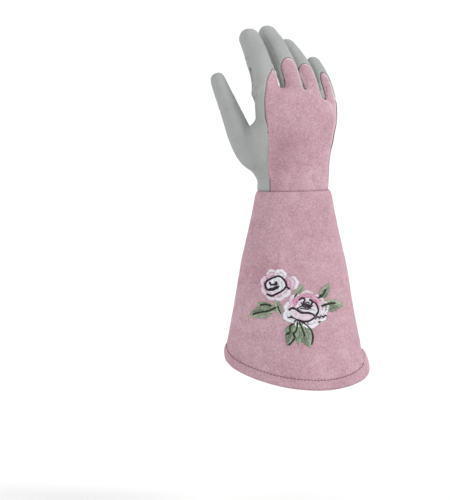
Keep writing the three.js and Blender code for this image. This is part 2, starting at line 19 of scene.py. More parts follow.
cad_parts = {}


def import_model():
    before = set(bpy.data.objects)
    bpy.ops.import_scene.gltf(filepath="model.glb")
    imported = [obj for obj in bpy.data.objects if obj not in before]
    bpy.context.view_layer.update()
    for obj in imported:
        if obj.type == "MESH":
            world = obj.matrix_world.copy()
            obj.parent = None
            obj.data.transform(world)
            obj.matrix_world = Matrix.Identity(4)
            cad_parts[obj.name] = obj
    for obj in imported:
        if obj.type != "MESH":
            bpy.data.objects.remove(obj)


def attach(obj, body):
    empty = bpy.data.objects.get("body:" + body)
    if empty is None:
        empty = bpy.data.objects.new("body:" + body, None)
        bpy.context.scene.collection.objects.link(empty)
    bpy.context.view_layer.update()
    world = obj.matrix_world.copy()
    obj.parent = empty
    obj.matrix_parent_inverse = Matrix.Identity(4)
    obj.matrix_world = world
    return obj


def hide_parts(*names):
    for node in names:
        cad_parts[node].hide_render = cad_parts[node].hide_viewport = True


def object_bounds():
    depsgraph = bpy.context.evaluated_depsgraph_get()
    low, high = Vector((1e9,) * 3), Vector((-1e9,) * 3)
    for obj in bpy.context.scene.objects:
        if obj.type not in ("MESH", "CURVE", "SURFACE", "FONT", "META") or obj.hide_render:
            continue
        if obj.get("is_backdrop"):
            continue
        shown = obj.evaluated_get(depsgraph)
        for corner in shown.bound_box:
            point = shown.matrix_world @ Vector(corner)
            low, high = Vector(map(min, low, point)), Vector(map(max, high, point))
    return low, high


log = logging.getLogger("gauntlet")
Array = np.ndarray
Colour = tuple[float, float, float]
METRES = 0.001

# The hand's sizes, as the frame has them
PALM_LENGTH = 105.0
PALM_WIDTH = 95.0
PALM_DEPTH = 42.0
WRIST_WIDTH = 75.6
WRIST_DEPTH = 47.0
WRIST_TUCK = 9.0
KNUCKLE_DROP = 20.0
HALF_PALM = PALM_WIDTH / 2


# Curves and tables


def eased(places: Array, values: Array, at: Array) -> Array:
    """Reads a table along a smooth curve through its rows.

    Args:
        places: Where each row stands, rising.
        values: The rows, one value or several each.
        at: The places to read.

    Returns:
        The values there, held level beyond both ends.
    """
    values = np.asarray(values, float)
    slopes = np.gradient(values, places, axis=0)
    i = np.clip(np.searchsorted(places, at, side="right") - 1, 0, len(places) - 2)
    step = places[i + 1] - places[i]
    t = np.clip((at - places[i]) / step, 0, 1)
    if values.ndim > 1:
        t, step = t[:, None], step[:, None]
    rise = (t**3 - 2 * t**2 + t) * step * slopes[i] + (t**3 - t**2) * step * slopes[i + 1]
    return (2 * t**3 - 3 * t**2 + 1) * values[i] + (3 * t**2 - 2 * t**3) * values[i + 1] + rise


def spline(points: list[tuple[float, float]], steps: int = 8) -> Array:
    """Draws a smooth outline through a few points in X and Z.

    Args:
        points: The points.
        steps: Pieces between each two of them.

    Returns:
        The finer points, a row each.
    """
    p = np.asarray(points, float)
    padded = np.vstack([p[:1], p, p[-1:]])
    made = []
    for i in range(len(p) - 1):
        a, b, c, d = padded[i : i + 4]
        t = np.arange(steps)[:, None] / steps
        u, v = (c - a) / 2, (d - b) / 2
        made.append((2 * t**3 - 3 * t**2 + 1) * b + (t**3 - 2 * t**2 + t) * u + (3 * t**2 - 2 * t**3) * c + (t**3 - t**2) * v)
    return np.vstack([*made, p[-1:]])


def power(value: Array, exponent: float) -> Array:
    """Raises a signed value's size to a power and keeps its sign."""
    return np.sign(value) * np.abs(value) ** exponent


def unit(vectors: Array) -> Array:
    """Scales each vector to a length of 1."""
    return vectors / np.maximum(np.linalg.norm(vectors, axis=-1, keepdims=True), 1e-9)


def inside_outline(outline: Array, x: Array, z: Array) -> Array:
    """Measures how far points lie inside a closed outline.

    Args:
        outline: The outline's corners in X and Z.
        x: The points' X.
        z: The points' Z.

    Returns:
        The distance to the outline, negative outside it.
    """
    nearest = np.full(len(x), np.inf)
    inside = np.zeros(len(x), bool)
    for (x1, z1), (x2, z2) in zip(outline, np.roll(outline, -1, axis=0)):
        run_x, run_z = x2 - x1, z2 - z1
        t = np.clip(((x - x1) * run_x + (z - z1) * run_z) / max(run_x**2 + run_z**2, 1e-9), 0, 1)
        nearest = np.minimum(nearest, np.hypot(x - x1 - t * run_x, z - z1 - t * run_z))
        if z1 != z2:
            inside ^= ((z1 > z) != (z2 > z)) & (x < run_x * (z - z1) / run_z + x1)
    return np.where(inside, nearest, -nearest)


def blended(first: Array, second: Array, reach: float) -> Array:
    """Takes the larger of two values, rounding the corner between them over a reach."""
    near = np.maximum(reach - np.abs(first - second), 0) / reach
    return np.maximum(first, second) + near**2 * reach / 4


def line_distance(lines: list[Array], x: Array, z: Array) -> Array:
    """Measures how far points lie from the nearest of some open lines in X and Z.

    Args:
        lines: The lines' points.
        x: The points' X.
        z: The points' Z.

    Returns:
        The distances.
    """
    nearest = np.full(len(x), np.inf)
    for line in lines:
        for (x1, z1), (x2, z2) in zip(line[:-1], line[1:]):
            run_x, run_z = x2 - x1, z2 - z1
            t = np.clip(((x - x1) * run_x + (z - z1) * run_z) / (run_x**2 + run_z**2), 0, 1)
            nearest = np.minimum(nearest, np.hypot(x - x1 - t * run_x, z - z1 - t * run_z))
    return nearest


def unevenness(points: Array, size: float, seed: float) -> Array:
    """Makes soft irregular values over a surface.

    Args:
        points: The surface's points.
        size: The lumps' rough width.
        seed: Moves the pattern, so that two uses differ.

    Returns:
        A value from about -1 to 1 for each point.
    """
    shift = Vector((seed, 3.7 * seed, -1.9 * seed))
    return np.array([noise.noise(Vector(p) / size + shift) for p in points])


def loft(rings: list[Array]) -> tuple[Array, list[list[int]]]:
    """Joins rings of equal length into a closed form.

    Args:
        rings: The rings, each an array of points.

    Returns:
        The points and the faces.
    """
    sides = len(rings[0])
    faces = [list(range(sides))[::-1]]
    for r in range(len(rings) - 1):
        for i in range(sides):
            j = (i + 1) % sides
            faces.append([r * sides + i, r * sides + j, (r + 1) * sides + j, (r + 1) * sides + i])
    faces.append(list(range((len(rings) - 1) * sides, len(rings) * sides)))
    return np.vstack(rings), faces


# Surfaces


@dataclass
class Skin:
    """A surface of triangles that carries values at its points."""

    points: Array
    faces: Array
    marks: dict[str, Array] = field(default_factory=dict)

    def normals(self) -> Array:
        """Averages the face directions at each point."""
        a, b, c = (self.points[self.faces[:, i]] for i in range(3))
        across = np.cross(b - a, c - a)
        total = np.zeros_like(self.points)
        for i in range(3):
            for axis in range(3):
                total[:, axis] += np.bincount(self.faces[:, i], across[:, axis], len(self.points))
        return unit(total)

    def smoothed(self, rounds: int, share: Array | float) -> None:
        """Moves each point towards the middle of its neighbours.

        Args:
            rounds: How many times.
            share: How far, from 0 to 1, for all points or for each.
        """
        edges = np.vstack([self.faces[:, [0, 1]], self.faces[:, [1, 2]], self.faces[:, [2, 0]]])
        count = np.bincount(edges[:, 0], minlength=len(self.points))[:, None]
        share = np.broadcast_to(share, len(self.points))[:, None]
        for _ in range(rounds):
            total = np.stack(
                [np.bincount(edges[:, 0], self.points[edges[:, 1], k], len(self.points)) for k in range(3)], axis=1
            )
            self.points = self.points + share * (total / np.maximum(count, 1) - self.points)

    def evened(self, values: Array, rounds: int) -> Array:
        """Averages a value with its neighbours' some times, to take its steps away.

        Args:
            values: A value for each point.
            rounds: How many times.

        Returns:
            The new values.
        """
        edges = np.vstack([self.faces[:, [0, 1]], self.faces[:, [1, 2]], self.faces[:, [2, 0]]])
        count = np.maximum(np.bincount(edges[:, 0], minlength=len(self.points)), 1)
        for _ in range(rounds):
            values = (values + np.bincount(edges[:, 0], values[edges[:, 1]], len(self.points)) / count) / 2
        return values

    def split(self, mark: str, level: float) -> None:
        """Cuts every triangle along the line where a mark has one value.

        Args:
            mark: The mark's name.
            level: The value.
        """
        height = self.marks[mark] - level
        height = np.where(np.abs(height) < 0.07, 0.0, height)
        self.marks[mark] = np.where(height == 0, level, self.marks[mark])
        sign = np.sign(height).astype(int)[self.faces]
        crossed = (sign.min(1) < 0) & (sign.max(1) > 0)
        cut, sign, whole = self.faces[crossed], sign[crossed], self.faces[~crossed]
        if not len(cut):
            return
        through = (sign == 0).any(1)
        lone = np.where(through, np.argmax(sign == 0, 1), np.argmax(sign == -np.sign(sign.sum(1))[:, None], 1))
        turned = np.stack([np.take_along_axis(cut, ((lone + k) % 3)[:, None], 1)[:, 0] for k in range(3)], 1)
        one, two = turned[~through], turned[through]
        pairs = np.vstack([one[:, [0, 1]], one[:, [0, 2]], two[:, [1, 2]]])
        edges, place = np.unique(np.sort(pairs, 1), axis=0, return_inverse=True)
        place = place.reshape(-1) + len(self.points)
        a, b = edges.T
        t = height[a] / (height[a] - height[b])
        self.points = np.vstack([self.points, self.points[a] + t[:, None] * (self.points[b] - self.points[a])])
        for name, values in self.marks.items():
            share = t[:, None] if values.ndim > 1 else t
            self.marks[name] = np.concatenate([values, values[a] + share * (values[b] - values[a])])
        self.marks[mark][-len(edges) :] = level
        p, q, r = place[: len(one)], place[len(one) : 2 * len(one)], place[2 * len(one) :]
        self.faces = np.vstack(
            [
                whole,
                np.stack([one[:, 0], p, q], 1),
                np.stack([p, one[:, 1], one[:, 2]], 1),
                np.stack([p, one[:, 2], q], 1),
                np.stack([two[:, 0], two[:, 1], r], 1),
                np.stack([two[:, 0], r, two[:, 2]], 1),
            ]
        )

    def kept(self, mark: str, level: float) -> Skin:
        """Takes the part of the surface where a mark isn't under a value.

        Args:
            mark: The mark's name.
            level: The value.

        Returns:
            The part, as a surface of its own.
        """
        faces = self.faces[(self.marks[mark][self.faces] >= level - 1e-6).all(1)]
        used, faces = np.unique(faces, return_inverse=True)
        marks = {name: values[used] for name, values in self.marks.items()}
        return Skin(self.points[used], faces.reshape(-1, 3), marks)

    def thickened(self, thickness: float) -> Skin:
        """Gives the surface an inner face and a rim.

        Args:
            thickness: How far the inner face lies behind.

        Returns:
            The closed sheet.
        """
        n = len(self.points)
        inner = self.points - thickness * self.normals()
        edges = np.vstack([self.faces[:, [0, 1]], self.faces[:, [1, 2]], self.faces[:, [2, 0]]])
        key = edges[:, 0] * n + edges[:, 1]
        rim = edges[~np.isin(key, edges[:, 1] * n + edges[:, 0])]
        a, b = rim.T
        faces = [self.faces, self.faces[:, ::-1] + n, np.stack([b, a, a + n], 1), np.stack([b, a + n, b + n], 1)]
        marks = {name: np.concatenate([values, values]) for name, values in self.marks.items()}
        return Skin(np.vstack([self.points, inner]), np.vstack(faces), marks)


@dataclass
class Piece:
    """A finished piece: its shape, its finish and what it stands for."""

    name: str
    skin: Skin
    material: bpy.types.Material
    slot: str
    nodes: tuple[str, ...] = ()
    kept_marks: tuple[str, ...] = ()
    # strength of the painted highlight on rolled edges, for pieces that have no lip mark of their own
    lip: float = 0.0

    def placed(self) -> bpy.types.Object:
        """Makes the object and sets it on the frame.

        Returns:
            The object.
        """
        mesh = bpy.data.meshes.new(self.name)
        mesh.from_pydata((self.skin.points * METRES).tolist(), [], self.skin.faces.tolist())
        mesh.validate()
        mesh.shade_smooth()
        marks = self.skin.marks
        if "from_seam" in self.kept_marks:
            count = len(self.skin.points)
            marks = {"lip": np.full(count, self.lip), "shown": np.ones(count), "fold": np.zeros(count)} | marks
        for name in ("lip", "shown", "fold", *self.kept_marks) if "from_seam" in self.kept_marks else self.kept_marks:
            layer = mesh.attributes.new(name, "FLOAT", "POINT")
            layer.data.foreach_set("value", marks[name].astype(np.float32))
        mesh.materials.append(self.material)
        made = bpy.data.objects.new(self.name, mesh)
        bpy.context.scene.collection.objects.link(made)
        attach(made, "root")
        if self.nodes:
            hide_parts(*self.nodes)
        log.info("%s: %d triangles", self.name, len(mesh.polygons))
        return made


def threads(paths: Array, normals: Array, width: Array | float, height: Array | float, sides: int = 5) -> Skin:
    """Lays a thread along each of many short paths.

    Args:
        paths: Points by path and place along it.
        normals: The direction away from the leather at each point.
        width: Half the thread's width, for all threads or for each.
        height: Half its height, for all threads or for each.
        sides: Sides round it.

    Returns:
        All the threads as one surface, with a random value for each in the mark strand.
    """
    count, places, _ = paths.shape
    forward = unit(np.gradient(paths, axis=1))
    aside = unit(np.cross(forward, normals))
    up = np.cross(aside, forward)
    along = np.linspace(-1, 1, places)
    taper = np.sqrt(np.clip(1 - np.abs(along) ** 6, 0.08, 1))[None, :, None, None]
    angle = 2 * np.pi * np.arange(sides) / sides
    width, height = (np.broadcast_to(v, count)[:, None, None, None] for v in (width, height))
    ring = width * np.cos(angle)[None, None, :, None] * aside[:, :, None]
    ring = ring + height * np.sin(angle)[None, None, :, None] * up[:, :, None]
    points = paths[:, :, None] + taper * ring
    start = (np.arange(count) * places * sides)[:, None, None]
    row = (np.arange(places - 1) * sides)[None, :, None]
    i = np.arange(sides)[None, None]
    j = (i + 1) % sides
    a, b, c, d = (start + row + k for k in (i, j, j + sides, i + sides))
    quads = [np.stack([a, c, b], -1).reshape(-1, 3), np.stack([a, d, c], -1).reshape(-1, 3)]
    fan = np.arange(1, sides - 1)
    first = np.arange(count) * places * sides
    last = first + (places - 1) * sides
    for base, (p, q) in ((first, (fan, fan + 1)), (last, (fan + 1, fan))):
        quads.append(
            np.stack([np.broadcast_to(base[:, None], (count, sides - 2)), base[:, None] + p, base[:, None] + q], -1).reshape(-1, 3)
        )
    strand = np.repeat(np.random.default_rng(11).random(count), places * sides)
    return Skin(points.reshape(-1, 3), np.vstack(quads), {"strand": strand})


def resampled(line: Array, pitch: float) -> Array:
    """Spaces points evenly along a line.

    Args:
        line: The line's points.
        pitch: The wanted distance between points.

    Returns:
        The new points.
    """
    run = np.concatenate([[0], np.cumsum(np.linalg.norm(np.diff(line, axis=0), axis=1))])
    at = np.linspace(0, run[-1], max(2, round(run[-1] / pitch)) + 1)
    return np.stack([np.interp(at, run, line[:, k]) for k in range(line.shape[1])], axis=1)


def stitches(line: Array, normals: Array, stitch: float, gap: float, thick: float) -> Skin:
    """Sews a row of stitches along a line on a surface.

    Args:
        line: Points close together along the line.
        normals: The direction away from the leather at each.
        stitch: A stitch's length.
        gap: The space to the next.
        thick: Half the thread's thickness.

    Returns:
        The stitches as one surface.
    """
    run = np.concatenate([[0], np.cumsum(np.linalg.norm(np.diff(line, axis=0), axis=1))])
    count = max(1, int(run[-1] / (stitch + gap)))
    starts = (np.arange(count) + 0.5) * run[-1] / count - stitch / 2
    places = np.linspace(0, 1, 5)
    at = starts[:, None] + places[None] * stitch
    path, away = (
        np.stack([np.interp(at, run, values[:, k]) for k in range(3)], axis=-1) for values in (line, unit(normals))
    )
    lift = thick * (np.array([-1.2, 0.35, 0.7, 0.35, -1.2]))
    return threads(path + away * lift[None, :, None], unit(away), thick, thick * 0.85, 6)


def merged(skins: list[Skin]) -> Skin:
    """Puts several surfaces into one, with the marks that all of them have."""
    names = set.intersection(*(set(s.marks) for s in skins))
    starts = np.cumsum([0] + [len(s.points) for s in skins[:-1]])
    marks = {name: np.concatenate([s.marks[name] for s in skins]) for name in names}
    faces = np.vstack([s.faces + start for s, start in zip(skins, starts)])
    return Skin(np.vstack([s.points for s in skins]), faces, marks)


# Finishes


class Sockets(Enum):
    """The kinds of socket that a group of shader nodes has."""

    VALUE = "NodeSocketFloat"
    COLOUR = "NodeSocketColor"
    VECTOR = "NodeSocketVector"


class Nodes:
    """Adds shader nodes to one tree and joins them."""

    def __init__(self, tree: bpy.types.NodeTree) -> None:
        """Takes the tree to add to.

        Args:
            tree: The node tree.
        """
        self.tree = tree

    def add(self, kind: str, inputs: dict | None = None, **settings: object) -> bpy.types.Node:
        """Adds a node.

        Args:
            kind: The node's type.
            inputs: A value or another node's output for each named or numbered socket.
            **settings: The node's own properties.

        Returns:
            The node.
        """
        node = self.tree.nodes.new(kind)
        for name, value in settings.items():
            setattr(node, name, value)
        for name, value in (inputs or {}).items():
            if isinstance(value, bpy.types.NodeSocket):
                self.tree.links.new(value, node.inputs[name])
            else:
                node.inputs[name].default_value = value
        return node

    def math(self, operation: str, first: object, second: object = 0.0, third: object = 0.0) -> bpy.types.NodeSocket:
        """Does one sum.

        Args:
            operation: The sum's name.
            first: Its first value or socket.
            second: Its second.
            third: Its third.

        Returns:
            The result's socket.
        """
        node = self.add("ShaderNodeMath", {0: first, 1: second, 2: third}, operation=operation)
        return node.outputs[0]

    def mix(self, share: object, first: object, second: object) -> bpy.types.NodeSocket:
        """Mixes two colours.

        Args:
            share: How much of the second, as a value or a socket.
            first: The first colour.
            second: The second colour.

        Returns:
            The mixed colour's socket.
        """
        node = self.add("ShaderNodeMix", {0: share, 6: first, 7: second}, data_type="RGBA")
        return node.outputs[2]

    def spread(self, value: object, low: float, high: float, to_low: float = 0.0, to_high: float = 1.0) -> bpy.types.NodeSocket:
        """Stretches a range of values over another.

        Args:
            value: The value or socket.
            low: The range's lower end.
            high: Its upper end.
            to_low: What the lower end becomes.
            to_high: What the upper end becomes.

        Returns:
            The new value's socket.
        """
        inputs = {0: value, 1: low, 2: high, 3: to_low, 4: to_high}
        return self.add("ShaderNodeMapRange", inputs, interpolation_type="SMOOTHSTEP").outputs[0]

    def noise(self, place: object, scale: float, detail: float = 2.0, rough: float = 0.5) -> bpy.types.NodeSocket:
        """Makes noise over the surface.

        Args:
            place: The socket with the place.
            scale: Lumps to the metre.
            detail: How many finer layers.
            rough: How strong they are.

        Returns:
            The noise's socket.
        """
        inputs = {"Vector": place, "Scale": scale, "Detail": detail, "Roughness": rough}
        return self.add("ShaderNodeTexNoise", inputs).outputs[0]


def shader_group(name: str, inputs: dict[str, Sockets], outputs: dict[str, Sockets]) -> tuple[Nodes, bpy.types.Node, bpy.types.Node]:
    """Starts a group of shader nodes.

    Args:
        name: The group's name.
        inputs: The kind of each input.
        outputs: The kind of each output.

    Returns:
        The tree, the node that gives the inputs and the node that takes the outputs.
    """
    tree = bpy.data.node_groups.new(name, "ShaderNodeTree")
    for side, sockets in (("INPUT", inputs), ("OUTPUT", outputs)):
        for label, kind in sockets.items():
            tree.interface.new_socket(label, in_out=side, socket_type=kind.value)
    nodes = Nodes(tree)
    return nodes, nodes.add("NodeGroupInput"), nodes.add("NodeGroupOutput")


class Effects:
    """The effects that several finishes share, each built once."""

    def __init__(self) -> None:
        """Builds the three groups."""
        self.mottle = self._mottle()
        self.nap = self._nap()
        self.seam_shade_and_highlight = self._seam_shade_and_highlight()

    def _mottle(self) -> bpy.types.NodeTree:
        """Makes cloudy patches of a darker and a lighter tone.

        Returns:
            The group.
        """
        value, colour = Sockets.VALUE, Sockets.COLOUR
        inputs = {"Base": colour, "Dark": colour, "Light": colour}
        inputs |= {"Patches": value, "Strength": value, "Specks": value, "Speck Strength": value}
        nodes, given, taken = shader_group("cloudy_patches", inputs, {"Color": colour, "Patch": value})
        place = nodes.add("ShaderNodeTexCoord").outputs["Object"]
        wide = nodes.noise(place, 26.0, 2.0, 0.5)
        scaled = nodes.add("ShaderNodeVectorMath", {0: place, 3: given.outputs["Patches"]}, operation="SCALE")
        small = nodes.noise(scaled.outputs[0], 1.0, 3.0, 0.6)
        finer = nodes.add("ShaderNodeVectorMath", {0: place, 3: given.outputs["Specks"]}, operation="SCALE")
        specks = nodes.noise(finer.outputs[0], 1.0, 3.0, 0.75)
        blend = nodes.math("ADD", nodes.math("MULTIPLY", wide, 0.5), nodes.math("MULTIPLY", small, 0.5))
        toned = given.outputs["Base"]
        for source, strength, reach in ((blend, "Strength", 0.15), (specks, "Speck Strength", 0.2)):
            dark = nodes.math("MULTIPLY", nodes.spread(source, 0.5, 0.5 - reach), given.outputs[strength])
            light = nodes.math("MULTIPLY", nodes.spread(source, 0.5, 0.5 + reach), given.outputs[strength])
            toned = nodes.mix(dark, toned, given.outputs["Dark"])
            toned = nodes.mix(light, toned, given.outputs["Light"])
        nodes.tree.links.new(toned, taken.inputs["Color"])
        nodes.tree.links.new(blend, taken.inputs["Patch"])
        return nodes.tree

    def _nap(self) -> bpy.types.NodeTree:
        """Makes the height of a fine grain with softer lumps under it.

        Returns:
            The group.
        """
        value = Sockets.VALUE
        nodes, given, taken = shader_group("fine_grain", {"Grain": value, "Lumps": value}, {"Height": value, "Fleck": value})
        place = nodes.add("ShaderNodeTexCoord").outputs["Object"]
        scaled = nodes.add("ShaderNodeVectorMath", {0: place, 3: given.outputs["Grain"]}, operation="SCALE")
        cells = nodes.add("ShaderNodeTexVoronoi", {"Vector": scaled.outputs[0], "Scale": 1.0})
        fine = nodes.noise(scaled.outputs[0], 1.7, 3.0, 0.7)
        lumps = nodes.noise(place, 240.0, 3.0, 0.6)
        height = nodes.math("ADD", nodes.math("MULTIPLY", cells.outputs["Distance"], 0.55), fine)
        height = nodes.math("MULTIPLY_ADD", lumps, given.outputs["Lumps"], height)
        nodes.tree.links.new(height, taken.inputs["Height"])
        nodes.tree.links.new(fine, taken.inputs["Fleck"])
        return nodes.tree

    def _seam_shade_and_highlight(self) -> bpy.types.NodeTree:
        """Paints shade into a colour towards the seams and in the creases, and paints a highlight on the crest beside
        them.

        Returns:
            The group.
        """
        value, colour = Sockets.VALUE, Sockets.COLOUR
        inputs = {"Base": colour, "Seam": colour, "Highlight": colour, "Strength": value, "Highlight Strength": value}
        nodes, given, taken = shader_group("painted_seam_light", inputs, {"Color": colour, "Painted Shade": value})
        away = nodes.add("ShaderNodeAttribute", attribute_name="from_seam").outputs["Fac"]
        # painted shade: the colour darkens close to the seam line
        deep = nodes.math("MULTIPLY", nodes.spread(away, 0.8, 0.1), given.outputs["Strength"])
        # painted highlight on the crest of the rolled edge, as strong as the lip mark allows
        crest_highlight = nodes.math("MULTIPLY", nodes.spread(away, 0.3, 0.7), nodes.spread(away, 2.7, 1.5))
        crest_highlight = nodes.math("MULTIPLY", crest_highlight, given.outputs["Highlight Strength"])
        lit_lip = nodes.add("ShaderNodeAttribute", attribute_name="lip").outputs["Fac"]
        crest_highlight = nodes.math("MULTIPLY", crest_highlight, lit_lip)
        shown = nodes.add("ShaderNodeAttribute", attribute_name="shown").outputs["Fac"]
        fold = nodes.add("ShaderNodeAttribute", attribute_name="fold").outputs["Fac"]
        # painted shade in the creases and on the back's thumb side, from the fold mark
        deep = nodes.math("MAXIMUM", nodes.math("MULTIPLY", deep, shown), nodes.math("MULTIPLY", fold, 0.4))
        toned = nodes.mix(crest_highlight, given.outputs["Base"], given.outputs["Highlight"])
        toned = nodes.mix(deep, toned, given.outputs["Seam"])
        nodes.tree.links.new(toned, taken.inputs["Color"])
        nodes.tree.links.new(deep, taken.inputs["Painted Shade"])
        return nodes.tree


def opaque(colour: Colour) -> tuple[float, float, float, float]:
    """Adds a full fourth value to a colour."""
    return (*colour, 1.0)


@dataclass(frozen=True)
class HideFinish:
    """Leather or suede: cloudy colour, a fine grain, painted shade at the seams and a painted highlight on the crests
    beside them.
    """

    name: str
    base: Colour
    dark: Colour
    light: Colour
    # seam: the colour of the painted shade at the seams; crest: the colour of the painted highlight beside them
    seam: Colour
    crest_highlight: Colour
    patches: float
    mottling: float
    specks: float
    speckling: float
    # the next two values set how strong the painted seam shade and the painted crest highlight are
    seam_shade: float
    seam_highlight: float
    grain: float
    lumps: float
    relief: float
    depth: float
    roughness: float
    sheen: float
    shine: float

    def made(self, effects: Effects) -> bpy.types.Material:
        """Builds the material.

        Args:
            effects: The shared groups.

        Returns:
            The material.
        """
        material = bpy.data.materials.new(self.name)
        material.use_nodes = True
        material.node_tree.nodes.clear()
        nodes = Nodes(material.node_tree)
        inputs = {"Base": opaque(self.base), "Dark": opaque(self.dark), "Light": opaque(self.light)}
        inputs |= {"Patches": self.patches, "Strength": self.mottling}
        inputs |= {"Specks": self.specks, "Speck Strength": self.speckling}
        mottle = nodes.add("ShaderNodeGroup", node_tree=effects.mottle)
        for label, value in inputs.items():
            mottle.inputs[label].default_value = value
        nap = nodes.add("ShaderNodeGroup", node_tree=effects.nap)
        nap.inputs["Grain"].default_value = self.grain
        nap.inputs["Lumps"].default_value = self.lumps
        fleck = nodes.spread(nap.outputs["Fleck"], 0.58, 0.36, 0.0, 0.35)
        flecked = nodes.mix(fleck, mottle.outputs["Color"], opaque(self.dark))
        edge = nodes.add("ShaderNodeGroup", node_tree=effects.seam_shade_and_highlight)
        nodes.tree.links.new(flecked, edge.inputs["Base"])
        edge.inputs["Seam"].default_value = opaque(self.seam)
        edge.inputs["Highlight"].default_value = opaque(self.crest_highlight)
        edge.inputs["Strength"].default_value = self.seam_shade
        edge.inputs["Highlight Strength"].default_value = self.seam_highlight
        rough = nodes.spread(mottle.outputs["Patch"], 0.35, 0.65, self.roughness - 0.06, self.roughness + 0.05)
        bump = nodes.add("ShaderNodeBump", {"Strength": self.relief, "Distance": self.depth, "Height": nap.outputs["Height"]})
        shader = nodes.add(
            "ShaderNodeBsdfPrincipled",
            {
                "Base Color": edge.outputs["Color"],
                "Roughness": rough,
                "Normal": bump.outputs["Normal"],
                "Sheen Weight": self.sheen,
                "Sheen Roughness": 0.6,
                "Sheen Tint": opaque(self.light),
                "Specular IOR Level": self.shine,
            },
        )
        nodes.add("ShaderNodeOutputMaterial", {"Surface": shader.outputs[0]})
        return material


@dataclass(frozen=True)
class ThreadFinish:
    """Embroidery or sewing thread: a tone for each strand between two colours."""

    name: str
    first: Colour
    second: Colour
    shade: Colour
    roughness: float = 0.5
    sheen: float = 0.3
    toned: bool = True

    def made(self, effects: Effects) -> bpy.types.Material:
        """Builds the material.

        Args:
            effects: The shared groups.

        Returns:
            The material.
        """
        material = bpy.data.materials.new(self.name)
        material.use_nodes = True
        material.node_tree.nodes.clear()
        nodes = Nodes(material.node_tree)
        strand = nodes.add("ShaderNodeAttribute", attribute_name="strand").outputs["Fac"]
        nap = nodes.add("ShaderNodeGroup", node_tree=effects.nap)
        nap.inputs["Grain"].default_value = 5200.0
        nap.inputs["Lumps"].default_value = 0.2
        share: object = strand
        if self.toned:
            share = nodes.add("ShaderNodeAttribute", attribute_name="tone").outputs["Fac"]
        colour = nodes.mix(share, opaque(self.first), opaque(self.second))
        colour = nodes.mix(nodes.spread(strand, 0.55, 1.0, 0.0, 0.45), colour, opaque(self.shade))
        colour = nodes.mix(nodes.spread(nap.outputs["Fleck"], 0.56, 0.4, 0.0, 0.4), colour, opaque(self.shade))
        bump = nodes.add("ShaderNodeBump", {"Strength": 0.5, "Distance": 0.00012, "Height": nap.outputs["Height"]})
        rough = nodes.spread(strand, 0.0, 1.0, self.roughness - 0.08, self.roughness + 0.08)
        shader = nodes.add(
            "ShaderNodeBsdfPrincipled",
            {
                "Base Color": colour,
                "Roughness": rough,
                "Normal": bump.outputs["Normal"],
                "Sheen Weight": self.sheen,
                "Specular IOR Level": 0.35,
            },
        )
        nodes.add("ShaderNodeOutputMaterial", {"Surface": shader.outputs[0]})
        return material


@dataclass
class Finishes:
    """Every finish of the glove, built once."""

    effects: Effects = field(default_factory=Effects)

    def __post_init__(self) -> None:
        """Builds the materials."""
        grey = dict(patches=80.0, mottling=0.4, specks=620.0, speckling=0.3, seam_shade=0.36, seam_highlight=0.25)
        grey |= dict(grain=1500.0, lumps=0.8, relief=0.5, depth=0.0002, roughness=0.7, sheen=0.1, shine=0.28)
        self.leather = HideFinish(
            "grey_leather",
            base=(0.362, 0.371, 0.366),
            dark=(0.28, 0.292, 0.285),
            light=(0.43, 0.44, 0.432),
            # painted seam shade colour and painted crest highlight colour
            seam=(0.09, 0.09, 0.088),
            crest_highlight=(0.45, 0.457, 0.45),
            **grey,
        ).made(self.effects)
        pink = dict(patches=95.0, mottling=0.5, specks=560.0, speckling=0.85, seam_shade=0.5, seam_highlight=0.9)
        pink |= dict(grain=1100.0, lumps=1.3, relief=0.8, depth=0.0003, roughness=0.93, sheen=0.25, shine=0.12)
        self.suede = HideFinish(
            "pink_suede",
            base=(0.49, 0.312, 0.357),
            dark=(0.355, 0.19, 0.235),
            light=(0.625, 0.45, 0.49),
            # painted seam shade colour and painted crest highlight colour
            seam=(0.2, 0.1, 0.125),
            crest_highlight=(0.87, 0.75, 0.78),
            **pink,
        ).made(self.effects)
        self.petal = ThreadFinish(
            "petal_thread", (0.82, 0.86, 0.88), (0.64, 0.19, 0.36), (0.66, 0.6, 0.68), sheen=0.12
        ).made(self.effects)
        self.leaf = ThreadFinish(
            "leaf_thread", (0.03, 0.06, 0.03), (0.5, 0.56, 0.43), (0.15, 0.19, 0.12), sheen=0.15
        ).made(self.effects)
        self.outline = ThreadFinish(
            "outline_thread", (0.012, 0.003, 0.011), (0.028, 0.007, 0.024), (0.008, 0.003, 0.008), sheen=0.05, toned=False
        ).made(self.effects)
        self.vein = ThreadFinish(
            "vein_thread", (0.008, 0.018, 0.01), (0.022, 0.042, 0.02), (0.006, 0.01, 0.006), sheen=0.05, toned=False
        ).made(self.effects)
        self.grey_sewing = ThreadFinish("grey_sewing_thread", (0.085, 0.085, 0.083), (0.13, 0.13, 0.125), (0.05, 0.05, 0.05), toned=False).made(
            self.effects
        )
        self.pink_sewing = ThreadFinish("pink_sewing_thread", (0.17, 0.075, 0.1), (0.22, 0.1, 0.13), (0.12, 0.05, 0.07), toned=False).made(
            self.effects
        )


# The hand

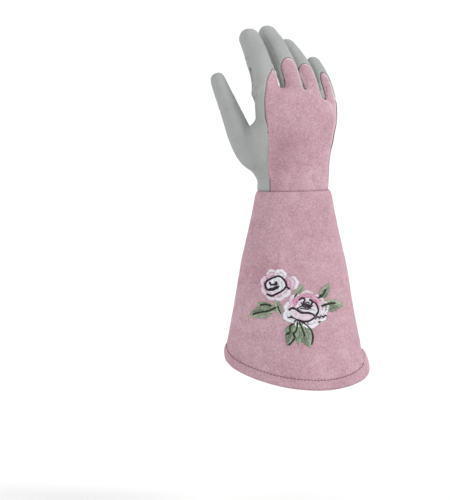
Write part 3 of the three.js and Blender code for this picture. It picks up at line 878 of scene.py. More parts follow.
FINGER_SECTIONS = np.array(
    [
        # along, half, crease
        [-0.55, 0.9, 0],
        [0.04, 0.97, 0],
        [0.3, 1.0, 0],
        [0.41, 1.01, 0.17],
        [0.5, 1.0, 0],
        [0.76, 0.95, 0],
        [1, 0.86, 0],
    ]
)
THUMB_SECTIONS = np.array(
    [
        # along, half, crease
        [-0.36, 0.82, 0],
        [-0.16, 1.0, 0],
        [0.04, 1.2, 0],
        [0.3, 1.24, 0],
        [0.55, 1.07, 0.1],
        [0.78, 0.92, 0],
        [1, 0.72, 0],
    ]
)
PALM_SECTIONS = np.array(
    [
        # up, wrist, wide, deep, shift, arch
        [-WRIST_TUCK / PALM_LENGTH, 1, 0.82, 1, 0, 0],
        [0, 1, 0.82, 1, 0, 0],
        [0.12, 0.85, 0.82, 1.06, 0, 0],
        [0.26, 0.4, 0.84, 1.04, 0, 0],
        [0.43, 0, 0.93, 1.03, -0.03, 0],
        [0.57, 0, 1, 0.99, -0.045, 0],
        [0.63, 0, 0.995, 0.96, -0.03, 0],
        [0.69, 0, 0.96, 0.92, 0.04, 0.15],
        [0.81, 0, 0.955, 0.84, 0.055, 0.5],
        [0.92, 0, 0.95, 0.68, 0.035, 0.85],
        [0.985, 0, 0.9, 0.4, 0, 1],
    ]
)
PHALANGES = (0.38, 0.34, 0.28)


@dataclass
class Digit:
    """A finger or the thumb: a tube along a bent centre line."""

    name: str
    root: tuple[float, float, float]
    heel: tuple[float, float, float]
    reach: float
    width: float
    lean: float
    bends: tuple[float, float, float]
    sections: Array = field(default_factory=lambda: FINGER_SECTIONS)
    side: tuple[float, float, float] = (1.0, 0.0, 0.0)
    web: float = 0.0

    def __post_init__(self) -> None:
        """Lays the centre line."""
        joints = [np.array(self.heel), np.array(self.root)]
        tilt = math.radians(self.lean)
        for share, bend in zip(PHALANGES, self.bends):
            pitch = math.radians(bend)
            along = np.array([-math.sin(tilt), math.cos(tilt) * math.sin(pitch), math.cos(tilt) * math.cos(pitch)])
            joints.append(joints[-1] + along * share * self.reach)
        self.line = self._curve(np.array(joints))
        steps = np.linalg.norm(np.diff(self.line, axis=0), axis=1)
        self.run = np.concatenate([[0], np.cumsum(steps)])

    @staticmethod
    def _curve(joints: Array) -> Array:
        """Draws the centre line smoothly through the joints.

        Args:
            joints: The heel, the root and the joints up to the tip.

        Returns:
            Points close together.
        """
        p = np.vstack([2 * joints[0] - joints[1], joints, 2 * joints[-1] - joints[-2]])
        made = []
        for i in range(len(joints) - 1):
            a, b, c, d = p[i : i + 4]
            da, db, dc = (max(np.linalg.norm(v), 1e-6) ** 0.5 for v in (b - a, c - b, d - c))
            u = ((b - a) / da - (c - a) / (da + db) + (c - b) / db) * db
            v = ((c - b) / db - (d - b) / (db + dc) + (d - c) / dc) * db
            t = np.arange(60)[:, None] / 60
            made.append((2 * t**3 - 3 * t**2 + 1) * b + (t**3 - 2 * t**2 + t) * u + (3 * t**2 - 2 * t**3) * c + (t**3 - t**2) * v)
        return np.vstack([*made, joints[-1:]])

    def frames(self, along: Array) -> tuple[Array, Array, Array, Array]:
        """Finds the centre line's points and directions.

        Args:
            along: Shares of the reach, 0 at the root and 1 at the tip's centre.

        Returns:
            The centres and the directions forward, across and towards the palm.
        """
        place = np.clip(self.run[-1] - (1 - along) * self.reach, 0, self.run[-1])
        read = lambda at: np.stack([np.interp(at, self.run, self.line[:, k]) for k in range(3)], axis=1)
        step = 0.01 * self.run[-1]
        ahead, behind = np.minimum(place + step, self.run[-1]), np.maximum(place - step, 0)
        forward = unit(read(ahead) - read(behind))
        side = np.array(self.side) / np.linalg.norm(self.side)
        across = unit(side - forward * (forward @ side)[:, None])
        return read(place), forward, across, np.cross(forward, across)

    def half(self, along: Array) -> tuple[Array, Array, Array]:
        """Gives the half width, the crease and the widening towards the next finger along the digit."""
        row = eased(self.sections[:, 0], self.sections[:, 1:], np.clip(along, self.sections[0, 0], 1))
        return row[:, 0] * self.width / 2, row[:, 1], self.web * np.clip(1 - along / 0.5, 0, 1)

    def form(self) -> tuple[Array, list[list[int]]]:
        """Builds the closed tube with its round tip.

        Returns:
            The points and the faces.
        """
        dome = np.radians(np.arange(8, 89, 8))
        along = np.concatenate([np.linspace(self.sections[0, 0], 1, 56), np.ones(len(dome))])
        shrink = np.concatenate([np.ones(56), np.cos(dome) ** 0.58])
        half, crease, web = self.half(along)
        beyond = np.concatenate([np.zeros(56), 0.9 * half[-1] * np.sin(dome) ** 1.3])
        centre, forward, across, palmward = self.frames(along)
        angle = 2 * np.pi * np.arange(40) / 40
        rings = []
        for k in range(len(along)):
            size = half[k] * shrink[k]
            wide = size * (1 + web[k] * np.maximum(0, np.cos(angle))) * power(np.cos(angle), 0.9)
            deep = size * power(np.sin(angle), 0.9) * (0.97 - crease[k] * np.maximum(0, np.sin(angle)))
            middle = centre[k] + forward[k] * beyond[k]
            rings.append(middle + wide[:, None] * across[k] + deep[:, None] * palmward[k])
        return loft(rings)

    def located(self, points: Array) -> dict[str, Array]:
        """Finds where points lie on the digit.

        Args:
            points: The points.

        Returns:
            The share along, the distances across and towards the palm, the distance from the centre
            line and the half width there.
        """
        shares = np.linspace(self.sections[0, 0], 1, 160)
        centre, forward, across, palmward = self.frames(shares)
        nearest = np.concatenate(
            [np.argmin(((part[:, None] - centre[None]) ** 2).sum(-1), 1) for part in np.array_split(points, 40)]
        )
        offset = points - centre[nearest]
        ahead = (offset * forward[nearest]).sum(1)
        along = shares[nearest] + ahead / self.reach
        half, _, _ = self.half(along)
        aside, front = (offset * across[nearest]).sum(1), (offset * palmward[nearest]).sum(1)
        beyond = np.where(along > 1, ahead, 0)
        return {
            "along": along,
            "aside": aside,
            "front": front,
            "away": np.sqrt(aside**2 + front**2 + beyond**2),
            "half": half,
        }


def at_root(across: float, up: float, front: float = 0.0) -> tuple[float, float, float]:
    """Gives a place in millimetres from shares of the palm's sizes."""
    return (across * HALF_PALM, front * PALM_DEPTH / 2, up * PALM_LENGTH)


def finger(name: str, across: float, up: float, reach: float, width: float, lean: float, bends: tuple[float, float, float], web: float = 0.0) -> Digit:
    """Sets up one of the four fingers.

    Args:
        name: The finger's name.
        across: Where it springs from, in shares of half the palm's width.
        up: And in shares of its length.
        reach: From the knuckle to the centre of the round tip.
        width: Its width.
        lean: How far it leans towards the thumb, in degrees.
        bends: How far each phalanx is bent from upright, in degrees.
        web: How much wider its base is towards the next finger.

    Returns:
        The finger.
    """
    x, y, z = at_root(across, up)
    heel = (0.8 * x, -0.1 * PALM_DEPTH, z - 42)
    return Digit(name, (x, y, z), heel, reach, width, lean, bends, web=web)


@dataclass(frozen=True)
class Fold:
    """A fold in the leather, at a place on a digit."""

    digit: str
    along: float
    around: float
    length: float
    width: float
    depth: float
    slant: float = 0.0


@dataclass(frozen=True)
class Ridge:
    """A sewn ridge that runs along a digit, on a direction round it."""

    digit: str
    start: float
    end: float
    around: float
    depth: float = 0.5

    def outward(self, place: dict[str, Array]) -> Array:
        """Works out how far the ridge moves the surface.

        Args:
            place: The points' places on the digit.

        Returns:
            The distance outwards for each point.
        """
        turn = math.radians(self.around)
        out = -place["front"] * math.cos(turn) + place["aside"] * math.sin(turn)
        sideways = np.abs(place["front"] * math.sin(turn) + place["aside"] * math.cos(turn))
        ends = np.clip((place["along"] - self.start) / 0.06, 0, 1) * np.clip((self.end - place["along"]) / 0.06, 0, 1)
        near = (out > 0) * (place["away"] < 1.35 * place["half"]) * ends
        crests = np.exp(-(((sideways - 1.7) / 0.9) ** 2))
        return near * self.depth * (0.75 * crests - np.exp(-((sideways / 0.75) ** 2)))


@dataclass(frozen=True)
class Furrow:
    """A fold in the leather of the palm or the back, at a place in shares of the palm's sizes."""

    across: float
    up: float
    front: float
    aim: float
    length: float
    width: float
    depth: float


FOLDS = (
    Fold("index", 0.43, 178, 7.6, 1.5, 1.5),
    Fold("index", 0.08, 178, 11, 1.4, 1.2),
    Fold("index", 0.73, 180, 7, 1.2, 0.5),
    Fold("index", 0.66, -96, 6, 1.1, 0.9),
    Fold("index", 0.13, -94, 10, 6.8, -3.1, 8),
    Fold("index", 0.3, -92, 6, 1.2, 0.5, 10),
    Fold("thumb", -0.17, -95, 15, 8, 2.6),
    Fold("thumb", -0.37, -95, 15, 6, -1.7),
    Fold("index", 0.13, -72, 9, 1.1, 0.8, 72),
    Fold("index", 0.1, -90, 8, 1.1, 0.7, 66),
    Fold("thumb", 0.56, 92, 6, 1.1, 1.4),
    Fold("thumb", 0.05, 70, 9, 1.8, 0.6, 30),
    Fold("middle", 0.42, 180, 9.5, 1.9, 2.6),
    Fold("middle", 0.47, 178, 8, 1.1, 0.9, 6),
    Fold("middle", 0.1, 180, 9, 1.4, 1.2),
    Fold("middle", 0.3, 185, 7, 1.2, 0.6, 12),
    Fold("ring", 0.42, 180, 9, 1.9, 2.5),
    Fold("ring", 0.36, 182, 7.5, 1.1, 0.8, -8),
    Fold("ring", 0.09, 178, 8, 1.3, 1.2),
    Fold("little", 0.42, 180, 8, 1.7, 2.0),
    Fold("little", 0.12, 180, 8, 1.3, 1.3),
    Fold("little", 0.26, 175, 6, 1.2, 0.9, -15),
    Fold("thumb", 0.63, 180, 8, 1.1, 1.2, 8),
    Fold("thumb", 0.57, 178, 7, 1.0, 0.9, 12),
    Fold("thumb", 0.12, 100, 7, 1.6, 0.6, 30),
)
RIDGES = (
    Ridge("index", 0.3, 1.05, 32),
    Ridge("middle", 0.55, 1.05, 32),
    Ridge("ring", 0.55, 1.05, 32),
    Ridge("little", 0.7, 1.05, 25),
    Ridge("middle", 0.2, 1.0, -62, 0.4),
    Ridge("ring", 0.2, 1.0, -62, 0.4),
)
FURROWS = (
    Furrow(-0.5, 0.74, 1, 78, 12, 1.2, 1.4),
    Furrow(-0.6, 0.72, 1, 70, 11, 1.2, 1.3),
    Furrow(-0.39, 0.76, 1, 86, 8, 1.1, 0.9),
    Furrow(-0.7, 0.66, 1, 58, 9, 1.3, 0.9),
    Furrow(-0.1, 0.94, 1, 6, 10, 1.4, 0.8),
    Furrow(0.62, 0.8, 1, -22, 9, 1.4, 1.1),
    Furrow(0.78, 0.7, 1, 10, 7, 1.3, 1.0),
    Furrow(0.7, 0.62, 1, -12, 6, 1.2, 0.7),
    Furrow(-0.62, 0.1, 1, 60, 9, 1.8, 0.5),
    Furrow(-0.35, 0.07, -1, 80, 12, 2.6, 0.45),
    Furrow(0.25, 0.08, -1, 95, 14, 3.0, 0.4),
    Furrow(-0.1, 0.68, -1, 70, 16, 4.0, 0.5),
    Furrow(0.35, 0.62, -1, 105, 15, 4.0, 0.45),
    Furrow(0.18, 0.9, -1, 96, 9, 2.4, 0.4),
    Furrow(0.55, 0.83, -1, 98, 8, 2.2, 0.35),
)


@dataclass
class Hand:
    """The hand's outer form, as one smooth surface that the pieces are cut from."""

    voxel: float = 1.25
    squareness: float = 0.88
    arch_centre: float = -0.1

    def __post_init__(self) -> None:
        """Sets up the digits."""
        self.digits = {
            "index": finger("index", -0.63, 0.88, 69, 24.8, 6.8, (12, 23, 34), 0.42),
            "middle": finger("middle", 0.01, 0.876, 80, 22.4, 9, (13, 32, 45), 0.14),
            "ring": finger("ring", 0.463, 0.83, 76, 20.2, 6.7, (18, 42, 50), 0.08),
            "little": finger("little", 0.858, 0.755, 63, 18, 0, (19, 43, 48)),
            "thumb": Digit(
                "thumb", at_root(-0.915, 0.335, 0.62), at_root(-0.52, 0.08, 0.24), 85, 20.5, 21, (12, 8, 6), THUMB_SECTIONS, (1.0, 0.35, 0.0)
            ),
        }

    def palm_form(self) -> tuple[Array, list[list[int]]]:
        """Builds the closed form of the palm down into the cuff.

        Returns:
            The points and the faces.
        """
        up = np.concatenate([np.linspace(PALM_SECTIONS[0, 0], 0.985, 70), [0.995, 1.0]])
        wrist, wide, deep, shift, arch = eased(PALM_SECTIONS[:, 0], PALM_SECTIONS[:, 1:], up).T
        shrink = np.concatenate([np.ones(70), [0.86, 0.6]])
        angle = 2 * np.pi * np.arange(96) / 96
        rings = []
        for k in range(len(up)):
            half_wide = shrink[k] * ((1 - wrist[k]) * wide[k] * HALF_PALM + wrist[k] * WRIST_WIDTH / 2)
            half_deep = shrink[k] * ((1 - wrist[k]) * deep[k] * PALM_DEPTH / 2 + wrist[k] * WRIST_DEPTH / 2)
            x = shift[k] * HALF_PALM + half_wide * power(np.cos(angle), self.squareness)
            y = half_deep * power(np.sin(angle), self.squareness)
            from_crown = (x / HALF_PALM - self.arch_centre) / (1 - self.arch_centre)
            z = up[k] * PALM_LENGTH - arch[k] * KNUCKLE_DROP * from_crown**2
            rings.append(np.stack([x, y, z], 1))
        return loft(rings)

    def built(self) -> Skin:
        """Joins the palm and the digits into one smooth skin with its folds.

        Returns:
            The skin, with the marks normal and fold, and each digit's places kept in self.places.
        """
        mesh = bpy.data.meshes.new("hand_form")
        points, faces = [], []
        for part, sides in [self.palm_form(), *(d.form() for d in self.digits.values())]:
            start = sum(len(p) for p in points)
            points.append(part)
            faces += [[i + start for i in side] for side in sides]
        mesh.from_pydata(np.vstack(points).tolist(), [], faces)
        form = bpy.data.objects.new("hand_form", mesh)
        bpy.context.scene.collection.objects.link(form)
        remesh = form.modifiers.new("remesh", "REMESH")
        remesh.mode, remesh.voxel_size = "VOXEL", self.voxel
        solid = form.evaluated_get(bpy.context.evaluated_depsgraph_get()).to_mesh()
        solid.calc_loop_triangles()
        skin = Skin(
            np.array([v.co for v in solid.vertices], float),
            np.array([t.vertices for t in solid.loop_triangles], int),
        )
        bpy.data.objects.remove(form)
        skin.smoothed(5, 0.5)
        places = {name: d.located(skin.points) for name, d in self.digits.items()}
        near_webs = np.zeros(len(skin.points))
        for name, place in places.items():
            low, high = (-0.15, 0.28) if name != "thumb" else (-0.25, 0.2)
            near_webs = np.maximum(near_webs, np.exp(-(((place["along"] - (low + high) / 2) / (high - low)) ** 4) * 16))
        skin.smoothed(10, 0.5 * near_webs)
        normal = skin.normals()
        self.places = {name: d.located(skin.points) for name, d in self.digits.items()}
        relief = self._relief(skin.points, normal)
        skin.points = skin.points + normal * relief[:, None]
        skin.smoothed(1, 0.3)
        x, y, z = skin.points.T
        # painted shade: a soft darker patch on the back's thumb side, where the back turns away from the light, and
        # darker creases; both go into the fold mark
        painted_back_shade = 0.8 * np.exp(-(((x + 22) / 15) ** 2) - ((z - 46) / 24) ** 2) * (y < 0) * (x > -37)
        skin.marks["fold"] = np.maximum(np.clip(self.creased - 0.25, 0, 1), painted_back_shade)
        skin.marks["normal"] = skin.normals()
        self.places = {name: d.located(skin.points) for name, d in self.digits.items()}
        log.info("hand form: %d points", len(skin.points))
        return skin

    def _relief(self, points: Array, normal: Array) -> Array:
        """Works out how far folds and unevenness move the surface.

        Args:
            points: The surface's points.
            normal: Its directions.

        Returns:
            The distance outwards for each point.
        """
        outward = 0.42 * unevenness(points, 18, 1.3) + 0.17 * unevenness(points, 6, 5.1)
        self.creased = np.zeros(len(points))
        for fold in FOLDS:
            digit = self.digits[fold.digit]
            centre, forward, across, palmward = (v[0] for v in digit.frames(np.array([fold.along])))
            around = math.radians(fold.around)
            out = -palmward * math.cos(around) + across * math.sin(around)
            half = digit.half(np.array([fold.along]))[0][0]
            aside = np.cross(forward, out)
            slant = math.radians(fold.slant)
            run = aside * math.cos(slant) + forward * math.sin(slant)
            moved = self._furrow(points, normal, centre + out * half, run, out, fold)
            place = self.places[fold.digit]
            moved = moved * ((fold.width > 4) | (place["away"] < 1.3 * place["half"]))
            outward = outward + moved
            self.creased = self.creased - moved * (fold.width < 4)
        for ridge in RIDGES:
            outward = outward + ridge.outward(self.places[ridge.digit])
        for furrow in FURROWS:
            aim = math.radians(furrow.aim)
            run = np.array([math.cos(aim), 0, math.sin(aim)])
            out = np.array([0, float(furrow.front), 0])
            x, _, z = at_root(furrow.across, furrow.up)
            facing = (normal @ out) > 0.2
            near = np.where(facing, np.hypot(points[:, 0] - x, points[:, 2] - z), np.inf)
            centre = np.array([x, points[np.argmin(near), 1], z])
            moved = self._furrow(points, normal, centre, run, out, furrow)
            outward = outward + moved
            self.creased = self.creased - moved * (furrow.width < 2.5)
        return outward

    @staticmethod
    def _furrow(points: Array, normal: Array, centre: Array, run: Array, out: Array, fold: Fold | Furrow) -> Array:
        """Presses one fold into the surface and lifts its two sides a little.

        Args:
            points: The surface's points.
            normal: Its directions.
            centre: The fold's middle.
            run: The direction that it runs in.
            out: The direction away from the hand there.
            fold: Its length, width and depth.

        Returns:
            The distance outwards for each point.
        """
        offset = points - centre
        along = offset @ run
        height = offset @ out
        aside = offset @ np.cross(out, run) + 0.04 * along**2 / fold.length
        reach = np.exp(-((along / fold.length) ** 4) - (height / 9) ** 4) * ((normal @ out) > -0.1)
        dip = np.exp(-((aside / fold.width) ** 2))
        lips = np.exp(-(((np.abs(aside) - 2.2 * fold.width) / (1.3 * fold.width)) ** 2))
        return reach * fold.depth * (0.45 * lips * (fold.width < 4) - dip)


# The seams of the hand, in shares of half the palm's width and of its length

APEX = (-0.53, 1.19)
INDEX_SEAM = ((-0.695, -0.2), (-0.7, 0), (-0.75, 0.4), (-0.79, 0.82), (-0.77, 0.97), (-0.69, 1.1), APEX)
WEB_LINE = (APEX, (-0.4, 1.08), (-0.26, 1.045), (0.24, 1.02), (0.5, 0.975), (0.7, 0.885), (0.8, 0.915), (0.95, 1.0), (1.4, 1.0))
THUMB_PALM_SEAM = (
    (-0.8, 0.12),
    (-0.55, 0.095),
    (-0.3, 0.14),
    (-0.2, 0.26),
    (-0.19, 0.42),
    (-0.27, 0.61),
    (-0.4, 0.755),
    (-0.51, 0.8),
    (-0.585, 0.755),
    (-0.65, 0.68),
    (-0.74, 0.64),
    (-0.84, 0.62),
)
THUMB_BACK_SEAM = ((-0.8, 0.12), (-0.68, 0.2), (-0.7, 0.42), (-0.78, 0.56), (-0.84, 0.62))
THUMB_BEYOND = ((-0.865, 0.68), (-0.91, 0.8), (-0.97, 1.2), (-3, 1.2), (-3, 0.12))


def in_palm(points: tuple) -> list[tuple[float, float]]:
    """Turns shares of the palm's sizes into millimetres in X and Z."""
    return [(across * HALF_PALM, up * PALM_LENGTH) for across, up in points]


@dataclass(frozen=True)
class Strip:
    """A field along a digit with a round end, centred on a direction round it."""

    digit: str
    start: float
    end: float
    half: float
    angle: float
    round_end: float
    base_turn: float = 0.0
    base_taper: float = 0.0

    def depth_inside(self, digit: Digit, place: dict[str, Array]) -> Array:
        """Measures how far points lie inside the field.

        Args:
            digit: The digit.
            place: The points' places on it.

        Returns:
            The distance to the field's edge, negative outside.
        """
        turn = np.radians(self.angle + self.base_turn * np.clip(1 - place["along"] / 0.4, 0, 1))
        out = -place["front"] * np.cos(turn) + place["aside"] * np.sin(turn)
        sideways = np.abs(-place["front"] * np.sin(turn) - place["aside"] * np.cos(turn))
        past = (place["along"] - self.end) * digit.reach + self.round_end
        ending = np.maximum(past, 0) / self.round_end
        round_off = self.half * (1 - np.sqrt((sideways / self.half) ** 2 + ending**2))
        inside = np.where(past > 0, round_off, self.half - sideways)
        narrowed = self.base_taper * np.clip(1 - (place["along"] - self.start) / 0.45, 0, 1) ** 2
        return np.where(out > 0.15 * place["half"], inside, -self.half) - narrowed


STRIPS = {
    "middle_lobe": Strip("middle", 0, 0.51, 0.41 * 22.4, -4, 0.42 * 22.4),
    "ring_lobe": Strip("ring", 0, 0.53, 0.41 * 20.2, -10, 0.42 * 20.2, 15.0),
    "little_lobe": Strip("little", -0.5, 0.66, 0.3 * 18, -3, 0.8 * 18, 0.0, 9.0),
    "middle_front": Strip("middle", -0.1, 1.1, 0.37 * 22.4, 180, 0.8 * 22.4),
    "ring_front": Strip("ring", -0.1, 1.1, 0.37 * 20.2, 180, 0.8 * 20.2),
    "little_front": Strip("little", -0.1, 1.1, 0.37 * 18, 180, 0.8 * 18),
    "gusset": Strip("index", 0.2, 1.0, 0.27 * 24.8, 90, 0.3 * 24.8),
}
CAP_STARTS = {"middle": 0.15, "ring": 0.17, "little": 0.2}


@dataclass
class HandPanels:
    """The leather and suede pieces of the hand, cut from its form and rolled in at their seams."""

    hand: Hand
    web_front: float = -3.0
    far_web_front: float = -6.2
    edge_front: float = -6.6
    wrist_front: float = -14.2
    apex_front: float = 1.0
    thumb_front: float = 1.185
    thumb_turn: float = 1.62
    lit_side: tuple[float, float, float] = (0.85, -0.2, 0.5)
    leather: float = 1.2
    roll: float = 2.3
    roll_depth: float = 1.15
    seam_gap: float = 0.08

    def fields(self, skin: Skin) -> dict[str, Array]:
        """Measures how far inside each piece every point of the hand lies.

        Args:
            skin: The hand's form.

        Returns:
            The distance to the piece's seam for each piece, negative outside it.
        """
        x, y, z = skin.points.T
        places, digits = self.hand.places, self.hand.digits
        x, y, z = (skin.evened(values, 2) for values in (x, y, z))
        strips = {name: s.depth_inside(digits[s.digit], places[s.digit]) for name, s in STRIPS.items()}
        own = {name: 1.3 * place["half"] - place["away"] for name, place in places.items()}
        for name, s in STRIPS.items():
            rising = (places[s.digit]["along"] - s.start) * digits[s.digit].reach
            strips[name] = np.minimum.reduce([strips[name], own[s.digit], rising])
        sheet = np.vstack([spline(in_palm(INDEX_SEAM)), spline(in_palm(WEB_LINE))[1:], [in_palm(((1.4, -0.2),))[0]]])
        edge = self.edge_front + (self.wrist_front - self.edge_front) * np.clip(1 - z / 88, 0, 1) ** 1.1
        webs = self.web_front + (self.far_web_front - self.web_front) * np.clip((x + 6) / 8, 0, 1)
        edge = webs + (edge - webs) * np.clip((x - 31) / 7, 0, 1)
        back = np.minimum(inside_outline(sheet, x, z), edge - y)
        apex = np.vstack([spline(in_palm(INDEX_SEAM[3:])), in_palm((WEB_LINE[1], (-0.34, 0.9), (-0.7, 0.86)))])
        back = np.maximum(back, np.minimum(inside_outline(apex, x, z), self.apex_front - y))
        for name in ("middle_lobe", "ring_lobe", "little_lobe"):
            outer_side = (name == "little_lobe") * np.clip(places["little"]["aside"] / 4, 0, 1)
            back = blended(back, strips[name], 2.5 + 6.0 * outer_side)
        beyond = in_palm(THUMB_BEYOND)
        front_side = inside_outline(np.vstack([spline(in_palm(THUMB_PALM_SEAM)), beyond]), x, z)
        back_side = inside_outline(np.vstack([spline(in_palm(THUMB_BACK_SEAM)), beyond]), x, z)
        thumb = np.maximum(np.minimum(front_side, y), np.minimum(back_side, PALM_DEPTH / 8 - y))
        thumb = np.minimum(thumb, -back)
        place = places["thumb"]
        aside = place["aside"] + 0.7 * place["half"] * np.clip((0.35 - place["along"]) / 0.7, 0, 1)
        behind = (self.thumb_front * place["half"] - self.thumb_turn * aside - place["front"]) / 1.9
        made = {
            "back": back,
            "thumb_back": np.minimum(thumb, behind),
            "thumb_front": np.minimum(thumb, -behind),
            "gusset": np.minimum(strips["gusset"], -back),
        }
        taken = np.maximum.reduce([back, thumb, strips["gusset"]])
        for name, start in CAP_STARTS.items():
            rising = (places[name]["along"] - start) * digits[name].reach
            zone = np.minimum.reduce([rising, own[name], -strips[f"{name}_front"]])
            made[f"{name}_cap"] = np.minimum(zone, -back)
            taken = np.maximum(taken, zone)
        made["palm"] = -taken
        made = {name: skin.evened(values, 4) for name, values in made.items()}
        ranked = np.sort(np.stack(list(made.values())), axis=0)
        made = {name: (values - np.where(values == ranked[-1], ranked[-2], ranked[-1])) / 2 for name, values in made.items()}
        near_thumb = np.abs(thumb) - np.minimum.reduce([np.abs(values) for values in made.values()])
        hidden = (near_thumb < 2.2) & (np.abs(thumb) < 4) & ((y < 4) | (z < 20))
        # shown sets how strong the painted seam shade is: almost none at hidden seams, darker and wider on the outer
        # side
        self.shown = np.where(hidden, 0.05, np.where((x > 34) & (z < 88) & (y < 0), 1.7, 1.0))
        inner_seam = np.where(place["front"] < 0.3 * place["half"], 0.05, 1.0)
        self.shown = skin.evened(np.where(thumb - np.abs(behind) > 0.5, inner_seam, self.shown), 2)
        return made

    @staticmethod
    def lips(points: Array) -> Array:
        """Says where the rolled edges get a painted highlight: at the fingers and along the outer side."""
        x, _, z = points.T
        return np.clip(0.25 + 0.75 * np.maximum((z - 84) / 12, (x - 5) / 15), 0.25, 1)

    def rolled(self, skin: Skin, inside: Array, roll_depth: float, thickness: float) -> Skin:
        """Cuts one piece out of the hand and rolls its edge into the seam.

        Args:
            skin: The hand's form.
            inside: The distance to the piece's seam.
            roll_depth: How deep its edge goes.
            thickness: The leather's thickness.

        Returns:
            The piece.
        """
        piece = Skin(skin.points, skin.faces, dict(skin.marks))
        inside = inside + 0.07 * np.clip(1 - self.shown, 0, 1)
        piece.marks |= {"from_seam": inside, "shown": self.shown, "lip": self.lips(skin.points)}
        piece = piece.kept("from_seam", -4.0)
        piece.marks["low"] = piece.points[:, 2] + 8.0
        piece.split("low", 0.0)
        piece = piece.kept("low", 0.0)
        for level in (self.seam_gap, 0.45, 0.95, self.roll):
            piece.split("from_seam", level)
        piece = piece.kept("from_seam", self.seam_gap)
        away = np.clip(piece.marks["from_seam"] / self.roll, 0, 1)
        sunk = roll_depth * (1 - np.sqrt(1 - (1 - away) ** 2)) * np.minimum(piece.marks["shown"], 1)
        at_wrist = np.clip(piece.points[:, 2] / 2.6, 0, 1)
        sunk = np.maximum(sunk, 1.0 * (1 - np.sqrt(1 - (1 - at_wrist) ** 2)))
        piece.points = piece.points - piece.marks["normal"] * sunk[:, None]
        # painted highlight: the lip mark grows where the rolled edge turns towards the light from lit_side
        turned = (piece.normals() - piece.marks["normal"]) @ np.array(self.lit_side)
        piece.marks["lip"] = piece.marks["lip"] * np.clip(0.25 + 5.5 * piece.evened(turned, 1), 0.05, 1)
        # painted shade along the wrist seam; on the outer side, where shown is above 1, the painted seam shade is made
        # wider
        at_wrist = 1.5 * np.maximum(piece.points[:, 2], 0) + 0.05
        piece.marks["from_seam"] *= np.clip(1.7 - 0.65 * piece.marks["shown"], 0.5, 1)
        piece.marks["from_seam"] = np.minimum(piece.marks["from_seam"], at_wrist)
        return piece.thickened(thickness)

    def make(self, skin: Skin, finishes: Finishes) -> list[bpy.types.Object]:
        """Makes every piece of the hand.

        Args:
            skin: The hand's form.
            finishes: The materials.

        Returns:
            The objects.
        """
        grey, pink = (finishes.leather, "grey_leather"), (finishes.suede, "pink_suede")
        plan = {
            "palm": ("palm_leather", "palm_panel", grey),
            "back": ("back_suede", "back_panel", pink),
            "thumb_front": ("thumb_front_leather", "thumb_front", grey),
            "thumb_back": ("thumb_back_leather", "thumb_back", grey),
            "gusset": ("index_gusset_leather", "index_gusset", grey),
            "middle_cap": ("middle_finger_leather", "middle_cap", grey),
            "ring_cap": ("ring_finger_leather", "ring_cap", grey),
            "little_cap": ("little_finger_leather", "little_cap", grey),
        }
        fields = self.fields(skin)
        made = []
        for key, (name, node, (material, slot)) in plan.items():
            piece = self.rolled(skin, fields[key], self.roll_depth, self.leather)
            made.append(Piece(name, piece, material, slot, (node,), ("from_seam",)).placed())
        made.append(self._seam_shade_thread(skin, fields["back"], finishes))
        return made

    def _seam_shade_thread(self, skin: Skin, inside: Array, finishes: Finishes) -> bpy.types.Object:
        """Lays the dark sewing thread in the seam along the outer side of the hand, which also serves as painted shade:
        a dark line for the seam's shadow.
        """
        cut = Skin(skin.points, skin.faces, dict(skin.marks) | {"from_seam": inside})
        cut.split("from_seam", 0.0)
        normal = unit(cut.marks["normal"])
        x, _, z = cut.points.T
        on_seam = (np.abs(cut.marks["from_seam"]) < 1e-6) & (x > 28) & (z > 0.5) & (normal[:, 0] > 0.35)
        points, normal = cut.points[on_seam], normal[on_seam]
        level = np.arange(points[:, 2].min() + 1.5, points[:, 2].max() - 1.5, 1.5)
        near = np.exp(-(((level[:, None] - points[None, :, 2]) / 1.8) ** 2))
        near /= near.sum(1, keepdims=True)
        path, out = near @ points, unit(near @ normal)
        thread = threads((path - 0.1 * out)[None], out[None], 0.45, 0.4, 8)
        return Piece("outer_seam_shade_thread", thread, finishes.pink_sewing, "pink_suede", (), ("strand",)).placed()


